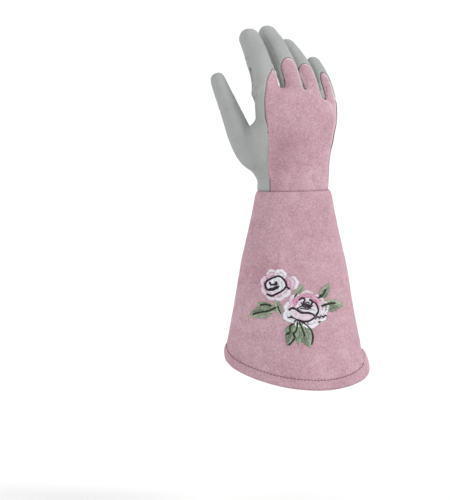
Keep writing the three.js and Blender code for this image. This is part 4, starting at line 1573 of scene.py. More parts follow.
@dataclass
class PalmPatch:
    """The reinforcing patch and its sewing."""

    width: float = 74.0
    height: float = 82.0
    thickness: float = 1.0
    lift: float = 0.25
    stitch: float = 3.0
    gap: float = 0.4
    thread: float = 0.33

    def point(self, inward: float, up: float) -> tuple[float, float]:
        """Gives a place on the patch from shares of its sizes."""
        return (HALF_PALM - 0.04 * PALM_WIDTH - inward * self.width, 0.07 * PALM_LENGTH + up * self.height)

    def outline(self) -> Array:
        """Draws the patch's edge.

        Returns:
            Points in X and Z.
        """
        return np.vstack([self.border(), [self.point(-0.3, 0.01), self.point(-0.3, 0.6)]])

    def border(self) -> Array:
        """Draws the edge that shows: the top, the side beside the thumb and the bottom.

        Returns:
            Points in X and Z.
        """
        top = spline([self.point(*at) for at in ((-0.2, 0.6), (0.0, 0.71), (0.25, 0.835), (0.55, 0.925), (0.8, 0.965), (0.95, 0.965))])
        side = spline([self.point(*at) for at in ((0.95, 0.93), (0.835, 0.79), (0.725, 0.56), (0.705, 0.38), (0.725, 0.22), (0.77, 0.09))])
        foot = spline([self.point(*at) for at in ((0.76, 0.045), (0.4, 0.03), (0.0, 0.01), (-0.2, 0.0))])
        return np.vstack([top, side, foot])

    def sewing(self) -> list[Array]:
        """Draws the lines of stitching: the edge, the two cross lines and the slanting line between them.

        Returns:
            The lines in X and Z.
        """
        inset = 1.8
        edge = resampled(self.border(), 1.0)
        run = unit(np.gradient(edge, axis=0))
        inward = np.stack([run[:, 1], -run[:, 0]], 1)
        inward *= np.sign(((edge.mean(0) - edge) * inward).sum(1).mean())
        upper = spline([self.point(*at) for at in ((-0.2, 0.44), (0.0, 0.555), (0.25, 0.68), (0.5, 0.765), (0.8, 0.825))])
        slant = np.array([self.point(0.8, 0.825), self.point(0.0, 0.15)])
        lower = spline([self.point(*at) for at in ((-0.15, 0.13), (0.0, 0.14), (0.35, 0.155), (0.72, 0.18))])
        return [edge + inset * inward, upper, slant, lower]

    def make(self, skin: Skin, finishes: Finishes) -> list[bpy.types.Object]:
        """Makes the patch and its stitches.

        Args:
            skin: The hand's form.
            finishes: The materials.

        Returns:
            The objects.
        """
        piece = Skin(skin.points, skin.faces, dict(skin.marks))
        x, y, z = piece.points.T
        limit = 1.0 - 4.0 * np.clip((x - 10) / 20, 0, 1)
        piece.marks["from_seam"] = np.minimum(inside_outline(self.outline(), x, z), y - limit)
        piece = piece.kept("from_seam", -4.0)
        for level in (0.0, 0.3, 0.8, 1.5, 2.2, 3.0):
            piece.split("from_seam", level)
        piece = piece.kept("from_seam", 0.0)
        away = np.clip(piece.marks["from_seam"] / 1.3, 0, 1)
        rounded = self.thickness * (1 - np.sqrt(1 - (1 - away) ** 2)) * 0.8
        lines = [resampled(line, 1.0) for line in self.sewing()]
        pressed = 0.7 * np.exp(-((line_distance(lines, piece.points[:, 0], piece.points[:, 2]) / 0.9) ** 2))
        outward = self.lift + self.thickness - rounded - pressed
        piece.points = piece.points + piece.marks["normal"] * outward[:, None]
        patch = Piece("palm_patch_leather", piece.thickened(self.thickness), finishes.leather, "grey_leather", ("palm_patch",), ("from_seam",))
        made = [patch.placed()]
        tree = BVHTree.FromPolygons(piece.points.tolist(), piece.faces.tolist())
        rows = []
        for line in lines:
            hits = [tree.ray_cast(Vector((px, 80.0, pz)), Vector((0, -1, 0))) for px, pz in resampled(line, 0.8)]
            found = [(h[0], h[1] if h[1].y > 0 else -h[1]) for h in hits if h[0] is not None]
            places, normals = (np.array([f[k] for f in found]) for k in (0, 1))
            rows.append(stitches(places, normals, self.stitch, self.gap, self.thread))
        made.append(Piece("palm_patch_stitches", merged(rows), finishes.grey_sewing, "grey_leather", (), ("strand",)).placed())
        return made


# The cuff

CUFF_SECTIONS = np.array([[0, 0], [0.2, 0.215], [0.4, 0.45], [0.7, 0.71], [1, 1]])


@dataclass
class Cuff:
    """The flared suede cuff and the band over its hem."""

    length: float = 170.0
    hem_width: float = 144.0
    hem_depth: float = 104.0
    hem_bow: float = 28.3
    hem_slant: float = 4.5
    hem_skew: float = 5.5
    hem_turn: float = -19.0
    band_height: float = 8.5
    band_thickness: float = 1.3
    suede: float = 1.5
    around: int = 256
    rows: int = 128

    def base(self, angle: Array, down: Array, out: Array | float) -> Array:
        """Gives points of the cuff's plain outer face.

        Args:
            angle: The angles round it, -90 degrees at the back of the hand, in radians.
            down: Shares of the way to the hem.
            out: How far outside the face.

        Returns:
            The points.
        """
        flare = eased(CUFF_SECTIONS[:, 0], CUFF_SECTIONS[:, 1], np.clip(down, 0, 1)) + np.maximum(down - 1, 0)
        wave = 1.1 * np.cos(3 * angle + math.radians(20)) + 0.7 * np.cos(5 * angle + math.radians(75))
        wide = (WRIST_WIDTH / 2 + 1.95) * (1 - flare) + self.hem_width / 2 * flare + out + wave * down
        deep = (WRIST_DEPTH / 2 + 1.95) * (1 - flare) + self.hem_depth / 2 * flare + out + wave * down
        exponent = 0.88 + 0.07 * np.clip(down, 0, 1)
        x = wide * np.sign(np.cos(angle)) * np.abs(np.cos(angle)) ** exponent
        y = deep * np.sign(np.sin(angle)) * np.abs(np.sin(angle)) ** exponent
        turn = math.radians(self.hem_turn) * down
        bow = np.abs(np.sin(angle)) ** 0.8
        level = -(self.length + self.hem_bow * bow + (self.hem_slant + self.hem_skew * bow) * np.cos(angle))
        return np.stack([x * np.cos(turn) - y * np.sin(turn), x * np.sin(turn) + y * np.cos(turn), level * down], -1)

    def sag(self, angle: Array, down: Array) -> Array:
        """Works out the soft bends, dents and side seams of the suede.

        Args:
            angle: The angles round the cuff.
            down: Shares of the way to the hem.

        Returns:
            How far each point stands out.
        """
        ripple = np.zeros_like(angle)
        rows = ((-2.0, 0.33, 0.5, 0.035, 0.8), (-1.25, 0.37, 0.55, 0.03, 0.7), (-0.75, 0.3, 0.4, 0.04, 0.6))
        rows += ((-1.6, 0.12, 0.8, 0.03, 0.5), (1.2, 0.28, 0.6, 0.04, 0.8), (1.9, 0.36, 0.5, 0.035, 0.7), (-2.2, 0.62, 0.4, 0.06, 0.8))
        rows += ((-0.6, 0.66, 0.35, 0.07, 0.8), (1.5, 0.7, 0.5, 0.07, 0.9), (-1.1, 0.9, 0.6, 0.035, 0.5))
        for middle, place, spread, height, depth in rows:
            turned = (angle - middle + np.pi) % (2 * np.pi) - np.pi
            tilt = down - place - 0.03 * np.sin(3 * turned)
            ripple -= depth * np.exp(-((turned / spread) ** 2)) * np.exp(-((tilt / height) ** 2))
            ripple += 0.5 * depth * np.exp(-((turned / spread) ** 2)) * np.exp(-(((tilt - 2 * height) / height) ** 2))
        outer, inner = (
            np.exp(-((((angle - middle + np.pi) % (2 * np.pi) - np.pi) / 0.5) ** 2)) for middle in (-0.4, -2.8)
        )
        lifted = np.clip((down - 0.925) / 0.05, 0, 1) ** 2
        return ripple + (5.8 * outer + 1.4 * inner) * lifted + 1.7 * inner * np.sin(np.pi * np.clip(down, 0, 1))

    def face(self, angle: Array, down: Array, out: Array | float = 0.0) -> Array:
        """Gives points of the cuff's outer face with its soft bends.

        Args:
            angle: The angles round it.
            down: Shares of the way to the hem.
            out: How far outside the face.

        Returns:
            The points.
        """
        return self.base(angle, down, out + self.sag(angle, down))

    def facing(self, angle: Array, down: Array) -> Array:
        """Finds the direction away from the cuff.

        Args:
            angle: The angles round it.
            down: Shares of the way to the hem.

        Returns:
            The directions.
        """
        step = 1e-3
        round_it = self.face(angle + step, down) - self.face(angle - step, down)
        down_it = self.face(angle, down - step) - self.face(angle, down + step)
        return unit(np.cross(round_it, down_it))

    def tube(self, profile: list[tuple[float, float]], wobble: float, seed: float) -> Skin:
        """Turns a closed profile of rows into a tube of the cuff's shape.

        Args:
            profile: For each row its share of the way to the hem and how far it stands out.
            wobble: The unevenness of its faces.
            seed: Moves that unevenness.

        Returns:
            The closed tube, with the mark from_seam.
        """
        angle = 2 * np.pi * np.arange(self.around) / self.around
        rows = [self.face(angle, np.full(self.around, down), out) for down, out in profile]
        points = np.vstack(rows)
        n, m = self.around, len(profile)
        middle = points * [1, 1, 0]
        points = points + unit(middle) * (wobble * unevenness(points, 9, seed))[:, None]
        faces = []
        i = np.arange(n)
        j = (i + 1) % n
        for r in range(m):
            s = (r + 1) % m
            faces.append(np.stack([r * n + i, s * n + i, s * n + j], 1))
            faces.append(np.stack([r * n + i, s * n + j, r * n + j], 1))
        # painted shade along the side seam at +X
        side = np.where(np.cos(np.tile(angle, m)) > 0, np.abs(np.sin(np.tile(angle, m))) * 45, 45)
        return Skin(points, np.vstack(faces)[:, ::-1], {"from_seam": np.minimum(side, 30.0)})

    def make(self, finishes: Finishes) -> list[bpy.types.Object]:
        """Makes the cuff, its hem band and the hem's stitches.

        Args:
            finishes: The materials.

        Returns:
            The objects.
        """
        down = np.concatenate([[0.0, 0.002, 0.005, 0.009, 0.014, 0.02], np.linspace(0.028, 1.0, self.rows)])
        top = np.clip(down * self.length / 5.0, 0, 1)
        roll = 0.35 - 2.1 * (1 - np.sqrt(1 - (1 - top) ** 2)) - 0.35 * np.clip(down * 8, 0, 1)
        outside = list(zip(down, roll))
        inside = [(d, r - self.suede) for d, r in outside[::-1][::4]] + [(0.0, roll[0] - self.suede)]
        cuff = self.tube(outside + inside, 0.22, 2.4)
        angle = np.tile(2 * np.pi * np.arange(self.around) / self.around, len(outside) + len(inside))
        # the side seams, pressed in
        seam = np.where(np.cos(angle) > 0, np.abs(np.sin(angle)) * 45, 45)
        pressed = 0.75 * np.exp(-((seam / 1.1) ** 2)) * (np.arange(len(angle)) < self.around * len(outside))
        cuff.points = cuff.points - unit(cuff.points * [1, 1, 0]) * pressed[:, None]
        # painted shade along the cuff's top at the wrist seam and on both sides of the hem band's seam
        top_edge = np.concatenate([np.repeat(down, self.around), np.full(len(inside) * self.around, 1.0)]) * self.length
        hem_line = np.abs(top_edge - self.length + self.band_height) + 0.1
        cuff.marks["from_seam"] = np.minimum.reduce([cuff.marks["from_seam"], 1.2 * top_edge + 0.05, hem_line])
        made = [Piece("cuff_suede", cuff, finishes.suede, "pink_suede", ("cuff",), ("from_seam",)).placed()]
        made.append(self._hem(finishes))
        made.append(self._hem_stitches(finishes))
        return made

    def _hem(self, finishes: Finishes) -> bpy.types.Object:
        """Makes the band folded over the cuff's edge."""
        share = 1 / self.length
        top = 1 - self.band_height * share
        t = self.band_thickness
        profile = [
            (top + 0.9 * share, -0.05),
            (top + 0.05 * share, 0.0),
            (top - 0.05 * share, 0.12),
            (top + 0.4 * share, 0.25),
            (top + 1.0 * share, 0.45),
            (top + 1.8 * share, 0.62),
            (top + 3.0 * share, 0.72),
            (top + 5.0 * share, 0.78),
            (top + 7.0 * share, 0.76),
            (top + 8.6 * share, 0.66),
            (1 + 0.1 * share, 0.45),
            (1 + 0.7 * share, 0.0),
            (1 + 0.95 * share, -0.8),
            (1 + 0.8 * share, -1.9 - 0.1 * t),
            (1 + 0.1 * share, -1.9 - 0.7 * t),
            (top + 5.5 * share, -1.9 - 1.1 * t),
            (top + 2.0 * share, -1.9 - 1.0 * t),
            (top, -1.9 - 0.6 * t),
            (top + 0.2 * share, -1.85),
            (1 - 0.3 * share, -1.75),
            (1 - 0.3 * share, 0.0),
        ]
        band = self.tube(profile, 0.2, 7.7)
        # painted shade towards the band's top seam
        band.marks["from_seam"] = np.repeat([1.2 * abs(down - top) * self.length + 0.05 for down, _ in profile], self.around)
        return Piece("cuff_hem_suede", band, finishes.suede, "pink_suede", ("cuff_hem",), ("from_seam",)).placed()

    def _hem_stitches(self, finishes: Finishes) -> bpy.types.Object:
        """Sews the row of stitches round the hem."""
        angle = np.linspace(0.3, 2 * np.pi - 0.3, 1400)
        down = np.full(len(angle), 1 - (self.band_height - 0.55) / self.length)
        line = self.face(angle, down, 0.3)
        sewn = stitches(line, self.facing(angle, down), 3.2, 0.35, 0.42)
        return Piece("cuff_hem_stitches", sewn, finishes.pink_sewing, "pink_suede", (), ("strand",)).placed()

    def seen_from_back(self, x: Array, z: Array, turn: float, lift: Array | float) -> tuple[Array, Array]:
        """Finds the cuff's points behind places drawn square to its back.

        Args:
            x: The places across, from the middle.
            z: The places up, from the wrist.
            turn: How far the drawing is turned round the cuff, in degrees.
            lift: How far off the suede the points lie.

        Returns:
            The points and the directions away from the suede.
        """
        cos, sin = math.cos(math.radians(turn)), math.sin(math.radians(turn))
        grid_angle, grid_down = np.meshgrid(np.radians(np.arange(-175, -5, 1.5)), np.arange(0.25, 1.0, 0.012))
        grid_angle, grid_down = grid_angle.ravel(), grid_down.ravel()

        def seen(angle: Array, down: Array) -> Array:
            """Gives the places in the drawing."""
            p = self.face(angle, down)
            return np.stack([p[..., 0] * cos + p[..., 1] * sin, p[..., 2]], -1)

        wanted = np.stack([x, z], -1)
        grid = seen(grid_angle, grid_down)
        best = np.concatenate([np.argmin(((part[:, None] - grid[None]) ** 2).sum(-1), 1) for part in np.array_split(wanted, max(1, len(x) // 400))])
        angle, down = grid_angle[best], grid_down[best]
        for _ in range(4):
            here = seen(angle, down)
            by_angle = (seen(angle + 1e-3, down) - here) / 1e-3
            by_down = (seen(angle, down + 1e-3) - here) / 1e-3
            miss = wanted - here
            scale = by_angle[:, 0] * by_down[:, 1] - by_angle[:, 1] * by_down[:, 0]
            angle = angle + (miss[:, 0] * by_down[:, 1] - miss[:, 1] * by_down[:, 0]) / scale
            down = down + (by_angle[:, 0] * miss[:, 1] - by_angle[:, 1] * miss[:, 0]) / scale
        facing = self.facing(angle, down)
        return self.face(angle, down) + facing * np.broadcast_to(lift, len(x))[:, None], facing


# The embroidery

Line = tuple[tuple[float, float], ...]


@dataclass(frozen=True)
class Petal:
    """A petal: its middle and half width in degrees, its two radii and how pink it is at each."""

    aim: float
    half: float
    inner: float
    outer: float
    root_tone: float
    rim_tone: float


@dataclass(frozen=True)
class Patch:
    """A filled part of a rose's heart: its edge, the way that its strands run and how pink it is."""

    edge: Line
    aim: float
    tone: float


@dataclass(frozen=True)
class Rose:
    """An embroidered rose, drawn in shares of its own radius."""

    name: str
    across: float
    down: float
    radius: float
    tall: float
    petals: tuple[Petal, ...]
    patches: tuple[Patch, ...]
    thick: tuple[Line, ...]
    thin: tuple[Line, ...] = ()


@dataclass(frozen=True)
class Leaf:
    """An embroidered leaf: where its middle is, the way that it points, its size and its shading."""

    across: float
    down: float
    aim: float
    size: float
    tone: float = 0.55
    lobes: tuple[tuple[float, float, float, float], ...] = ()
    strokes: tuple[Line, ...] = (((-0.48, 0.0), (-0.1, 0.02), (0.25, 0.0)),)
    stroke_half: float = 0.42


SMALL_ROSE = Rose(
    "rose_small",
    across=-0.312,
    down=0.553,
    radius=16.5,
    tall=1.0,
    petals=(
        Petal(8, 27, 0.4, 1.38, 0.75, 0.05),
        Petal(68, 30, 0.4, 1.04, 0.12, 0.0),
        Petal(112, 24, 0.4, 1.05, 0.5, 0.2),
        Petal(160, 28, 0.4, 1.0, 0.75, 0.2),
        Petal(205, 26, 0.4, 0.98, 0.5, 0.25),
        Petal(245, 26, 0.4, 1.0, 0.35, 0.2),
        Petal(287, 26, 0.4, 1.0, 0.45, 0.12),
        Petal(325, 26, 0.4, 1.02, 0.3, 0.0),
    ),
    patches=(
        Patch(((-0.62, 0.02), (-0.46, 0.34), (0.14, 0.55), (0.5, 0.3), (0.58, -0.1), (0.2, -0.42), (-0.42, -0.4)), 20, 0.03),
    ),
    thick=(
        ((0.62, -0.1), (0.56, 0.2), (0.36, 0.46), (0.12, 0.56), (-0.2, 0.46), (-0.5, 0.3), (-0.66, 0.06), (-0.6, -0.2)),
        ((-0.6, -0.2), (-0.36, -0.3), (0.0, -0.2), (0.16, -0.06)),
        ((-0.5, -0.24), (-0.2, -0.18), (0.1, -0.04)),
        ((-0.42, 0.2), (-0.3, 0.04), (-0.08, 0.08), (0.04, 0.24)),
        ((-0.12, 0.12), (-0.02, 0.02), (0.06, 0.16)),
        ((-0.58, -0.52), (-0.3, -0.64), (0.04, -0.5), (0.4, -0.3), (0.6, -0.1), (0.84, -0.26)),
    ),
)
LARGE_ROSE = Rose(
    "rose_large",
    across=0.111,
    down=0.694,
    radius=22.5,
    tall=0.8,
    petals=(
        Petal(2, 25, 0.4, 1.12, 0.4, 0.05),
        Petal(42, 26, 0.4, 1.0, 0.85, 0.25),
        Petal(88, 27, 0.4, 1.04, 0.95, 0.3),
        Petal(132, 26, 0.4, 1.02, 0.95, 0.25),
        Petal(172, 26, 0.4, 1.04, 0.4, 0.08),
        Petal(208, 26, 0.4, 1.16, 0.03, 0.0),
        Petal(246, 26, 0.4, 1.12, 0.0, 0.0),
        Petal(284, 27, 0.4, 1.16, 0.05, 0.0),
        Petal(324, 25, 0.4, 1.12, 0.1, 0.0),
    ),
    patches=(
        Patch(((-0.5, 0.1), (-0.3, 0.5), (0.1, 0.6), (0.46, 0.3), (0.5, -0.2), (0.3, -0.32), (-0.1, -0.2)), 80, 0.1),
        Patch(((-0.72, -0.02), (-0.4, -0.14), (0.0, -0.28), (0.36, -0.34), (0.4, -0.5), (0.1, -0.68), (-0.3, -0.62), (-0.6, -0.34)), 96, 0.38),
    ),
    thick=(
        ((-0.8, -0.06), (-0.62, 0.06), (-0.44, -0.06), (-0.22, -0.24), (0.02, -0.22), (0.22, -0.28), (0.38, -0.42)),
        ((-0.46, -0.6), (-0.16, -0.72), (0.14, -0.68), (0.36, -0.5), (0.54, -0.24), (0.52, 0.06), (0.4, 0.3), (0.2, 0.44)),
        ((-0.34, 0.5), (-0.2, 0.6), (-0.06, 0.5), (-0.14, 0.3), (0.04, 0.16), (0.22, 0.2), (0.28, 0.4), (0.12, 0.5)),
    ),
    thin=(
        ((-0.44, 0.0), (-0.2, 0.16), (0.06, 0.06), (0.3, 0.14)),
        ((-0.3, 0.04), (-0.12, 0.0), (0.06, -0.02), (0.22, 0.02)),
        ((-0.2, 0.2), (-0.04, 0.08), (0.14, 0.12)),
        ((0.02, 0.36), (0.12, 0.3), (0.1, 0.22), (-0.02, 0.26), (0.0, 0.36)),
        ((-0.26, 0.38), (-0.2, 0.26), (-0.06, 0.2)),
        ((-0.84, -0.46), (-0.62, -0.5), (-0.46, -0.6), (-0.58, -0.7)),
        ((-0.74, -0.38), (-0.6, -0.5)),
        ((-0.18, -0.7), (-0.17, -0.84)),
        ((0.04, -0.7), (0.07, -0.84)),
        ((0.38, -0.62), (0.54, -0.48), (0.62, -0.56), (0.7, -0.44), (0.8, -0.54), (0.87, -0.42), (0.96, -0.5)),
        ((0.52, -0.78), (0.66, -0.76)),
    ),
)
SPRAY = (
    Leaf(0.012, 0.587, 52, 0.58, 0.8, strokes=(((-0.5, 0.02), (-0.25, 0.0)),), stroke_half=0.7),
    Leaf(-0.286, 0.684, 112, 0.58, 0.85, strokes=(((-0.45, 0.0), (0.1, 0.03)),), stroke_half=0.3),
    Leaf(
        -0.5,
        0.709,
        201,
        1.04,
        0.7,
        lobes=((3.0, 4.6, 156, 0.72),),
        strokes=(((-0.5, 0.03), (-0.2, 0.05), (0.1, 0.0), (0.36, -0.02)), ((-0.36, -0.08), (-0.2, -0.2), (0.0, -0.24))),
        stroke_half=0.75,
    ),
    Leaf(
        0.385,
        0.603,
        54,
        0.78,
        0.75,
        lobes=((-3.6, -4.0, 100, 0.5),),
        strokes=(((-0.42, 0.16), (-0.3, 0.06), (-0.12, 0.04)), ((-0.3, 0.0), (0.15, 0.03)), ((-0.36, 0.1), (-0.2, 0.14))),
        stroke_half=0.75,
    ),
    Leaf(0.51, 0.684, -3, 0.95, 0.76, strokes=(((-0.5, -0.02), (-0.2, 0.05), (0.1, 0.08)), ((-0.45, 0.02), (-0.05, 0.1))), stroke_half=0.7),
    Leaf(
        -0.1,
        0.842,
        250,
        0.98,
        0.6,
        lobes=((-2.2, 5.0, 205, 0.55),),
        strokes=(
            ((-0.5, 0.06), (-0.2, 0.12), (-0.02, 0.05), (0.1, 0.16), (0.44, 0.02)),
            ((-0.42, -0.04), (-0.25, -0.16), (-0.05, -0.1), (0.1, -0.2)),
        ),
        stroke_half=0.65,
    ),
    Leaf(
        0.085,
        0.845,
        294,
        1.1,
        0.62,
        lobes=((-6.0, -1.6, 268, 0.62),),
        strokes=(
            ((-0.5, 0.0), (-0.34, 0.14), (-0.05, 0.25), (0.22, 0.22), (0.42, 0.06)),
            ((-0.44, 0.0), (-0.2, 0.0), (0.06, -0.03)),
        ),
        stroke_half=0.6,
    ),
)


@dataclass
class Embroidery:
    """The spray of two roses and seven leaves in satin stitch."""

    cuff: Cuff
    turn: float = -20.0
    pitch: float = 0.42
    thread: float = 0.27
    longest: float = 4.2
    leaf_length: float = 27.0
    leaf_width: float = 0.5
    cord_thick: float = 1.15
    cord_thin: float = 0.72

    def sewn(self, start: Array, end: Array, lift: float, arch: float, tone: Array, half: float) -> Skin:
        """Lays a satin strand between each two places of the drawing.

        Args:
            start: Where the strands come out, in X and Z.
            end: Where they go in.
            lift: How far off the suede the layer lies.
            arch: How much higher a strand's middle is.
            tone: The strands' tone, from 0 to 1.
            half: Half a strand's width.

        Returns:
            The strands with the marks strand and tone.
        """
        places = np.linspace(0, 1, 5)
        flat = start[:, None] + places[None, :, None] * (end - start)[:, None]
        height = lift + arch * np.sin(np.pi * places) - 0.25 * (np.abs(places - 0.5) > 0.49)
        lifted = np.tile(height, len(start))
        points, facing = self.cuff.seen_from_back(flat[..., 0].ravel(), flat[..., 1].ravel(), self.turn, lifted)
        shape = (len(start), len(places), 3)
        made = threads(points.reshape(shape), facing.reshape(shape), half, half * 0.8)
        made.marks["tone"] = np.repeat(np.clip(tone, 0, 1), len(made.points) // len(start))
        return made

    def corded(self, line: Array, lift: float, half: float) -> Skin:
        """Lays close short stitches across a line of the drawing.

        Args:
            line: The line in X and Z.
            lift: How far off the suede it lies.
            half: Half its width.

        Returns:
            The stitches.
        """
        fine = resampled(line, 0.36)
        run = unit(np.gradient(fine, axis=0))
        aside = np.stack([-run[:, 1], run[:, 0]], 1)
        random = np.random.default_rng(len(fine))
        reach = half * (0.85 + 0.3 * random.random((len(fine), 1)))
        ends = np.clip(np.minimum(np.arange(len(fine)), np.arange(len(fine))[::-1]) / 3 + 0.45, 0, 1)[:, None]
        return self.sewn(fine - ends * reach * aside - 0.2 * run, fine + ends * reach * aside + 0.2 * run, lift, 0.35, np.zeros(len(fine)), 0.26)

    def filled(self, edge: Array, aim: float, random: np.random.Generator) -> tuple[Array, Array]:
        """Fills an outline with strands side by side, long ones in shorter steps.

        Args:
            edge: The outline in X and Z.
            aim: The way that the strands run, in degrees.
            random: The source of unevenness.

        Returns:
            Where each strand comes out and where it goes in.
        """
        run = np.array([math.cos(math.radians(aim)), math.sin(math.radians(aim))])
        aside = np.array([-run[1], run[0]])
        along, across = edge @ run, edge @ aside
        next_along, next_across = np.roll(along, -1), np.roll(across, -1)
        starts, ends = [], []
        for place in np.arange(across.min() + 0.1, across.max(), self.pitch):
            hit = (across > place) != (next_across > place)
            share = (place - across[hit]) / (next_across[hit] - across[hit])
            cuts = np.sort(along[hit] + share * (next_along[hit] - along[hit]))
            for low, high in zip(cuts[::2], cuts[1::2]):
                steps = max(1, round((high - low) / self.longest))
                inner = low + (np.arange(1, steps) + 0.5 * (random.random(steps - 1) - 0.5)) * (high - low) / steps
                stops = np.concatenate([[low - 0.12 * random.random()], inner, [high + 0.12 * random.random()]])
                for first, last in zip(stops[:-1], stops[1:]):
                    starts.append((first - 0.2) * run + place * aside)
                    ends.append((last + 0.2) * run + place * aside)
        return np.array(starts), np.array(ends)

    def _rose(self, rose: Rose, finishes: Finishes) -> list[bpy.types.Object]:
        """Embroiders one rose.

        Args:
            rose: The rose.
            finishes: The materials.

        Returns:
            The objects.
        """
        random = np.random.default_rng(int(rose.radius * 10))
        middle = np.array([rose.across * self.cuff.hem_width / 2, -rose.down * self.cuff.length])
        scale = rose.radius * np.array([1.0, rose.tall])
        strands = []
        for number, petal in enumerate(rose.petals):
            angle = np.linspace(-1, 1, 17)
            rim = petal.outer - (petal.outer - petal.inner) * (0.5 * np.abs(angle) ** 3 - 0.03 * np.cos(angle * 9))
            turned = np.radians(petal.aim + petal.half * angle)
            outer = np.stack([rim * np.cos(turned), rim * np.sin(turned)], 1)
            inner = petal.inner * np.stack([np.cos(turned), np.sin(turned)], 1)[::-1]
            start, end = self.filled(middle + scale * np.vstack([outer, inner]), petal.aim, random)
            centre = np.linalg.norm(((start + end) / 2 - middle) / scale, axis=1)
            share = np.clip((centre - petal.inner - 0.12) / (petal.outer - petal.inner - 0.2), 0, 1)
            tone = 1.15 * petal.root_tone + (petal.rim_tone - 1.15 * petal.root_tone) * share**2
            tone = tone + 0.07 * random.standard_normal(len(tone))
            strands.append(self.sewn(start, end, 0.22 + 0.16 * (number % 2), 0.26, tone, self.thread))
        for number, patch in enumerate(rose.patches):
            edge = spline([*patch.edge, patch.edge[0]])[:-1]
            start, end = self.filled(middle + scale * edge, patch.aim, random)
            tone = patch.tone + 0.05 * random.standard_normal(len(start))
            strands.append(self.sewn(start, end, 0.5 + 0.1 * number, 0.26, tone, self.thread))
        cords = []
        for lines, half in ((rose.thick, self.cord_thick), (rose.thin, self.cord_thin)):
            cords += [self.corded(middle + scale * spline(list(line)), 0.8, half) for line in lines]
        marks = ("strand", "tone")
        petals = Piece(f"{rose.name}_petals", merged(strands), finishes.petal, "petal_thread", (rose.name,), marks)
        outlines = Piece(f"{rose.name}_outlines", merged(cords), finishes.outline, "petal_thread", (), marks)
        return [petals.placed(), outlines.placed()]

    def _blade(self, middle: Array, aim: float, length: float, tone: float, lift: float, random: np.random.Generator) -> list[Skin]:
        """Fills one leaf blade with strands that slant away from its midrib.

        Args:
            middle: The blade's middle.
            aim: The way that it points, in degrees.
            length: Its length.
            tone: How light it is.
            lift: How far off the suede it lies.
            random: The source of unevenness.

        Returns:
            The blade's two sides.
        """
        turned = math.radians(aim)
        axes = np.array([[math.cos(turned), math.sin(turned)], [-math.sin(turned), math.cos(turned)]])
        along = np.linspace(-0.5, 0.5, 22)
        half = self.leaf_width / 2 * np.cos(np.pi * along) ** 0.8 * (1 - 0.35 * along) * (1 + 0.06 * np.cos(along * 40))
        sides = []
        for side, lighter in ((1, 0.12), (-1, -0.22)):
            edge = length * np.vstack([np.stack([along, side * half], 1), np.stack([along, 0 * along], 1)[::-1]])
            start, end = self.filled(middle + edge @ axes, aim + side * 38, random)
            if len(start):
                near = np.linalg.norm((start + end) / 2 - middle, axis=1) / length
                tones = tone + lighter + 0.9 * (near - 0.28) + 0.14 * random.standard_normal(len(start))
                sides.append(self.sewn(start, end, lift, 0.28, tones, self.thread))
        return sides

    def _leaf(self, leaf: Leaf, number: int, finishes: Finishes) -> list[bpy.types.Object]:
        """Embroiders one leaf.

        Args:
            leaf: The leaf.
            number: Its number.
            finishes: The materials.

        Returns:
            The objects.
        """
        random = np.random.default_rng(100 + number)
        length = leaf.size * self.leaf_length
        middle = np.array([leaf.across * self.cuff.hem_width / 2, -leaf.down * self.cuff.length])
        blades = self._blade(middle, leaf.aim, length, leaf.tone, 0.24, random)
        for across, up, aim, size in leaf.lobes:
            blades += self._blade(middle + [across, up], aim, size * length, leaf.tone + 0.12, 0.16, random)
        turned = math.radians(leaf.aim)
        axes = np.array([[math.cos(turned), math.sin(turned)], [-math.sin(turned), math.cos(turned)]])
        strokes = [
            self.corded(middle + length * spline(list(line)) @ axes, 0.5, 1.7 * leaf.stroke_half) for line in leaf.strokes
        ]
        name, marks = f"leaf_{number}", ("strand", "tone")
        return [
            Piece(f"{name}_blade", merged(blades), finishes.leaf, "leaf_thread", (name,), marks).placed(),
            Piece(f"{name}_veins", merged(strokes), finishes.vein, "leaf_thread", (), marks).placed(),
        ]

    def make(self, finishes: Finishes) -> list[bpy.types.Object]:
        """Embroiders the whole spray.

        Args:
            finishes: The materials.

        Returns:
            The objects.
        """
        made = []
        for number, leaf in enumerate(SPRAY, 1):
            made += self._leaf(leaf, number, finishes)
        for rose in (SMALL_ROSE, LARGE_ROSE):
            made += self._rose(rose, finishes)
        return made


# The studio


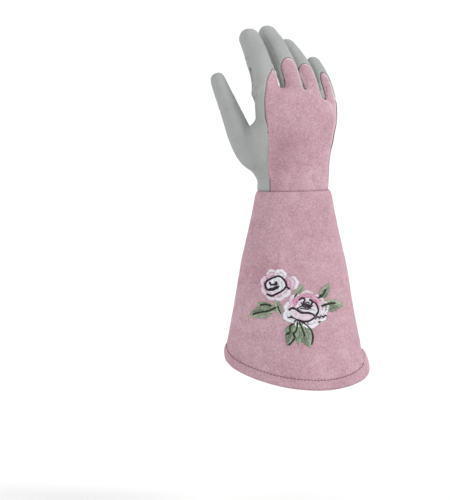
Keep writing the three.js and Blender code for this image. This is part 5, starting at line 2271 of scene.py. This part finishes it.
@dataclass
class Studio:
    """The camera, the soft lights and the pale floor."""

    azimuth: float = -27.0
    elevation: float = 3.5
    distance: float = 2.0
    frame_height: float = 0.515
    wrist_pixel: tuple[float, float] = (293.5, 190.0)
    drop: float = 0.13

    def camera(self) -> bpy.types.Object:
        """Sets up the camera at the photograph's angle.

        Returns:
            The camera.
        """
        a, e = math.radians(self.azimuth), math.radians(self.elevation)
        back = Vector((math.sin(a) * math.cos(e), -math.cos(a) * math.cos(e), math.sin(e)))
        data = bpy.data.cameras.new("camera")
        data.sensor_width = 36.0
        data.lens = 36.0 * self.distance / self.frame_height
        data.clip_start, data.clip_end = 0.05, 60.0
        made = bpy.data.objects.new("camera", data)
        made.location = back * self.distance
        made.rotation_mode = "QUATERNION"
        look = (-back).to_track_quat("-Z", "Y")
        per_pixel = self.frame_height / 500 / self.distance
        aside = math.atan((self.wrist_pixel[0] - 225) * per_pixel)
        above = math.atan((250 - self.wrist_pixel[1]) * per_pixel)
        turn = Matrix.Rotation(aside, 4, "Y") @ Matrix.Rotation(-above, 4, "X")
        made.rotation_quaternion = (look.to_matrix().to_4x4() @ turn).to_quaternion()
        bpy.context.scene.collection.objects.link(made)
        bpy.context.scene.camera = made
        return made

    def daylight(self, name: str, towards: tuple[float, float, float], spread: float, strength: float) -> None:
        """Adds a broad, even light.

        Args:
            name: The light's name.
            towards: The direction that it comes from.
            spread: How wide it is in the sky, in degrees.
            strength: Its brightness.
        """
        data = bpy.data.lights.new(name, "SUN")
        data.angle, data.energy = math.radians(spread), strength
        made = bpy.data.objects.new(name, data)
        made.rotation_mode = "QUATERNION"
        made.rotation_quaternion = (-Vector(towards)).to_track_quat("-Z", "Y")
        bpy.context.scene.collection.objects.link(made)

    def floor(self, low: float) -> None:
        """Lays the pale floor.

        Args:
            low: The height of the glove's lowest point, in metres.
        """
        material = bpy.data.materials.new("pale_floor")
        material.use_nodes = True
        nodes = Nodes(material.node_tree)
        shader = material.node_tree.nodes["Principled BSDF"]
        place = nodes.add("ShaderNodeTexCoord").outputs["Object"]
        cloud = nodes.noise(place, 1.5, 2.0)
        nodes.tree.links.new(nodes.mix(cloud, (0.93, 0.93, 0.93, 1), (0.95, 0.95, 0.95, 1)), shader.inputs["Base Color"])
        shader.inputs["Roughness"].default_value = 0.95
        mesh = bpy.data.meshes.new("floor")
        half, level = 14.0, low - self.drop
        corners = [(-half, -half, level), (half, -half, level), (half, half, level), (-half, half, level)]
        mesh.from_pydata(corners, [], [(0, 1, 2, 3)])
        mesh.materials.append(material)
        made = bpy.data.objects.new("floor", mesh)
        bpy.context.scene.collection.objects.link(made)
        made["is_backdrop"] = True

    def sky(self, seen: float, lighting: float) -> None:
        """Sets the pale surroundings.

        Args:
            seen: Their brightness as a backdrop.
            lighting: Their brightness as a light.
        """
        world = bpy.data.worlds.new("pale_world")
        world.use_nodes = True
        nodes = Nodes(world.node_tree)
        path = nodes.add("ShaderNodeLightPath").outputs["Is Camera Ray"]
        strength = nodes.spread(path, 0.0, 1.0, lighting, seen)
        background = world.node_tree.nodes["Background"]
        background.inputs["Color"].default_value = (1.0, 1.0, 1.0, 1.0)
        nodes.tree.links.new(strength, background.inputs["Strength"])
        bpy.context.scene.world = world

    def make(self, low: float) -> None:
        """Sets up everything that isn't part of the glove.

        Args:
            low: The height of the glove's lowest point, in metres.
        """
        bpy.context.scene.view_settings.view_transform = "Standard"
        self.camera()
        self.sky(1.03, 0.96)
        self.daylight("key", (0.66, -0.52, 0.54), 20.0, 1.1)
        self.floor(low)


def main() -> None:
    """Builds the dressed gauntlet on its frame."""
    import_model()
    frame_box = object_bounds()
    studio = Studio()
    studio.make(frame_box[0].z)
    finishes = Finishes()
    hand = Hand()
    skin = hand.built()
    HandPanels(hand).make(skin, finishes)
    PalmPatch().make(skin, finishes)
    cuff = Cuff()
    cuff.make(finishes)
    Embroidery(cuff).make(finishes)


if __name__ == "__main__":
    logging.basicConfig(level=logging.INFO, format="%(message)s")
    main()
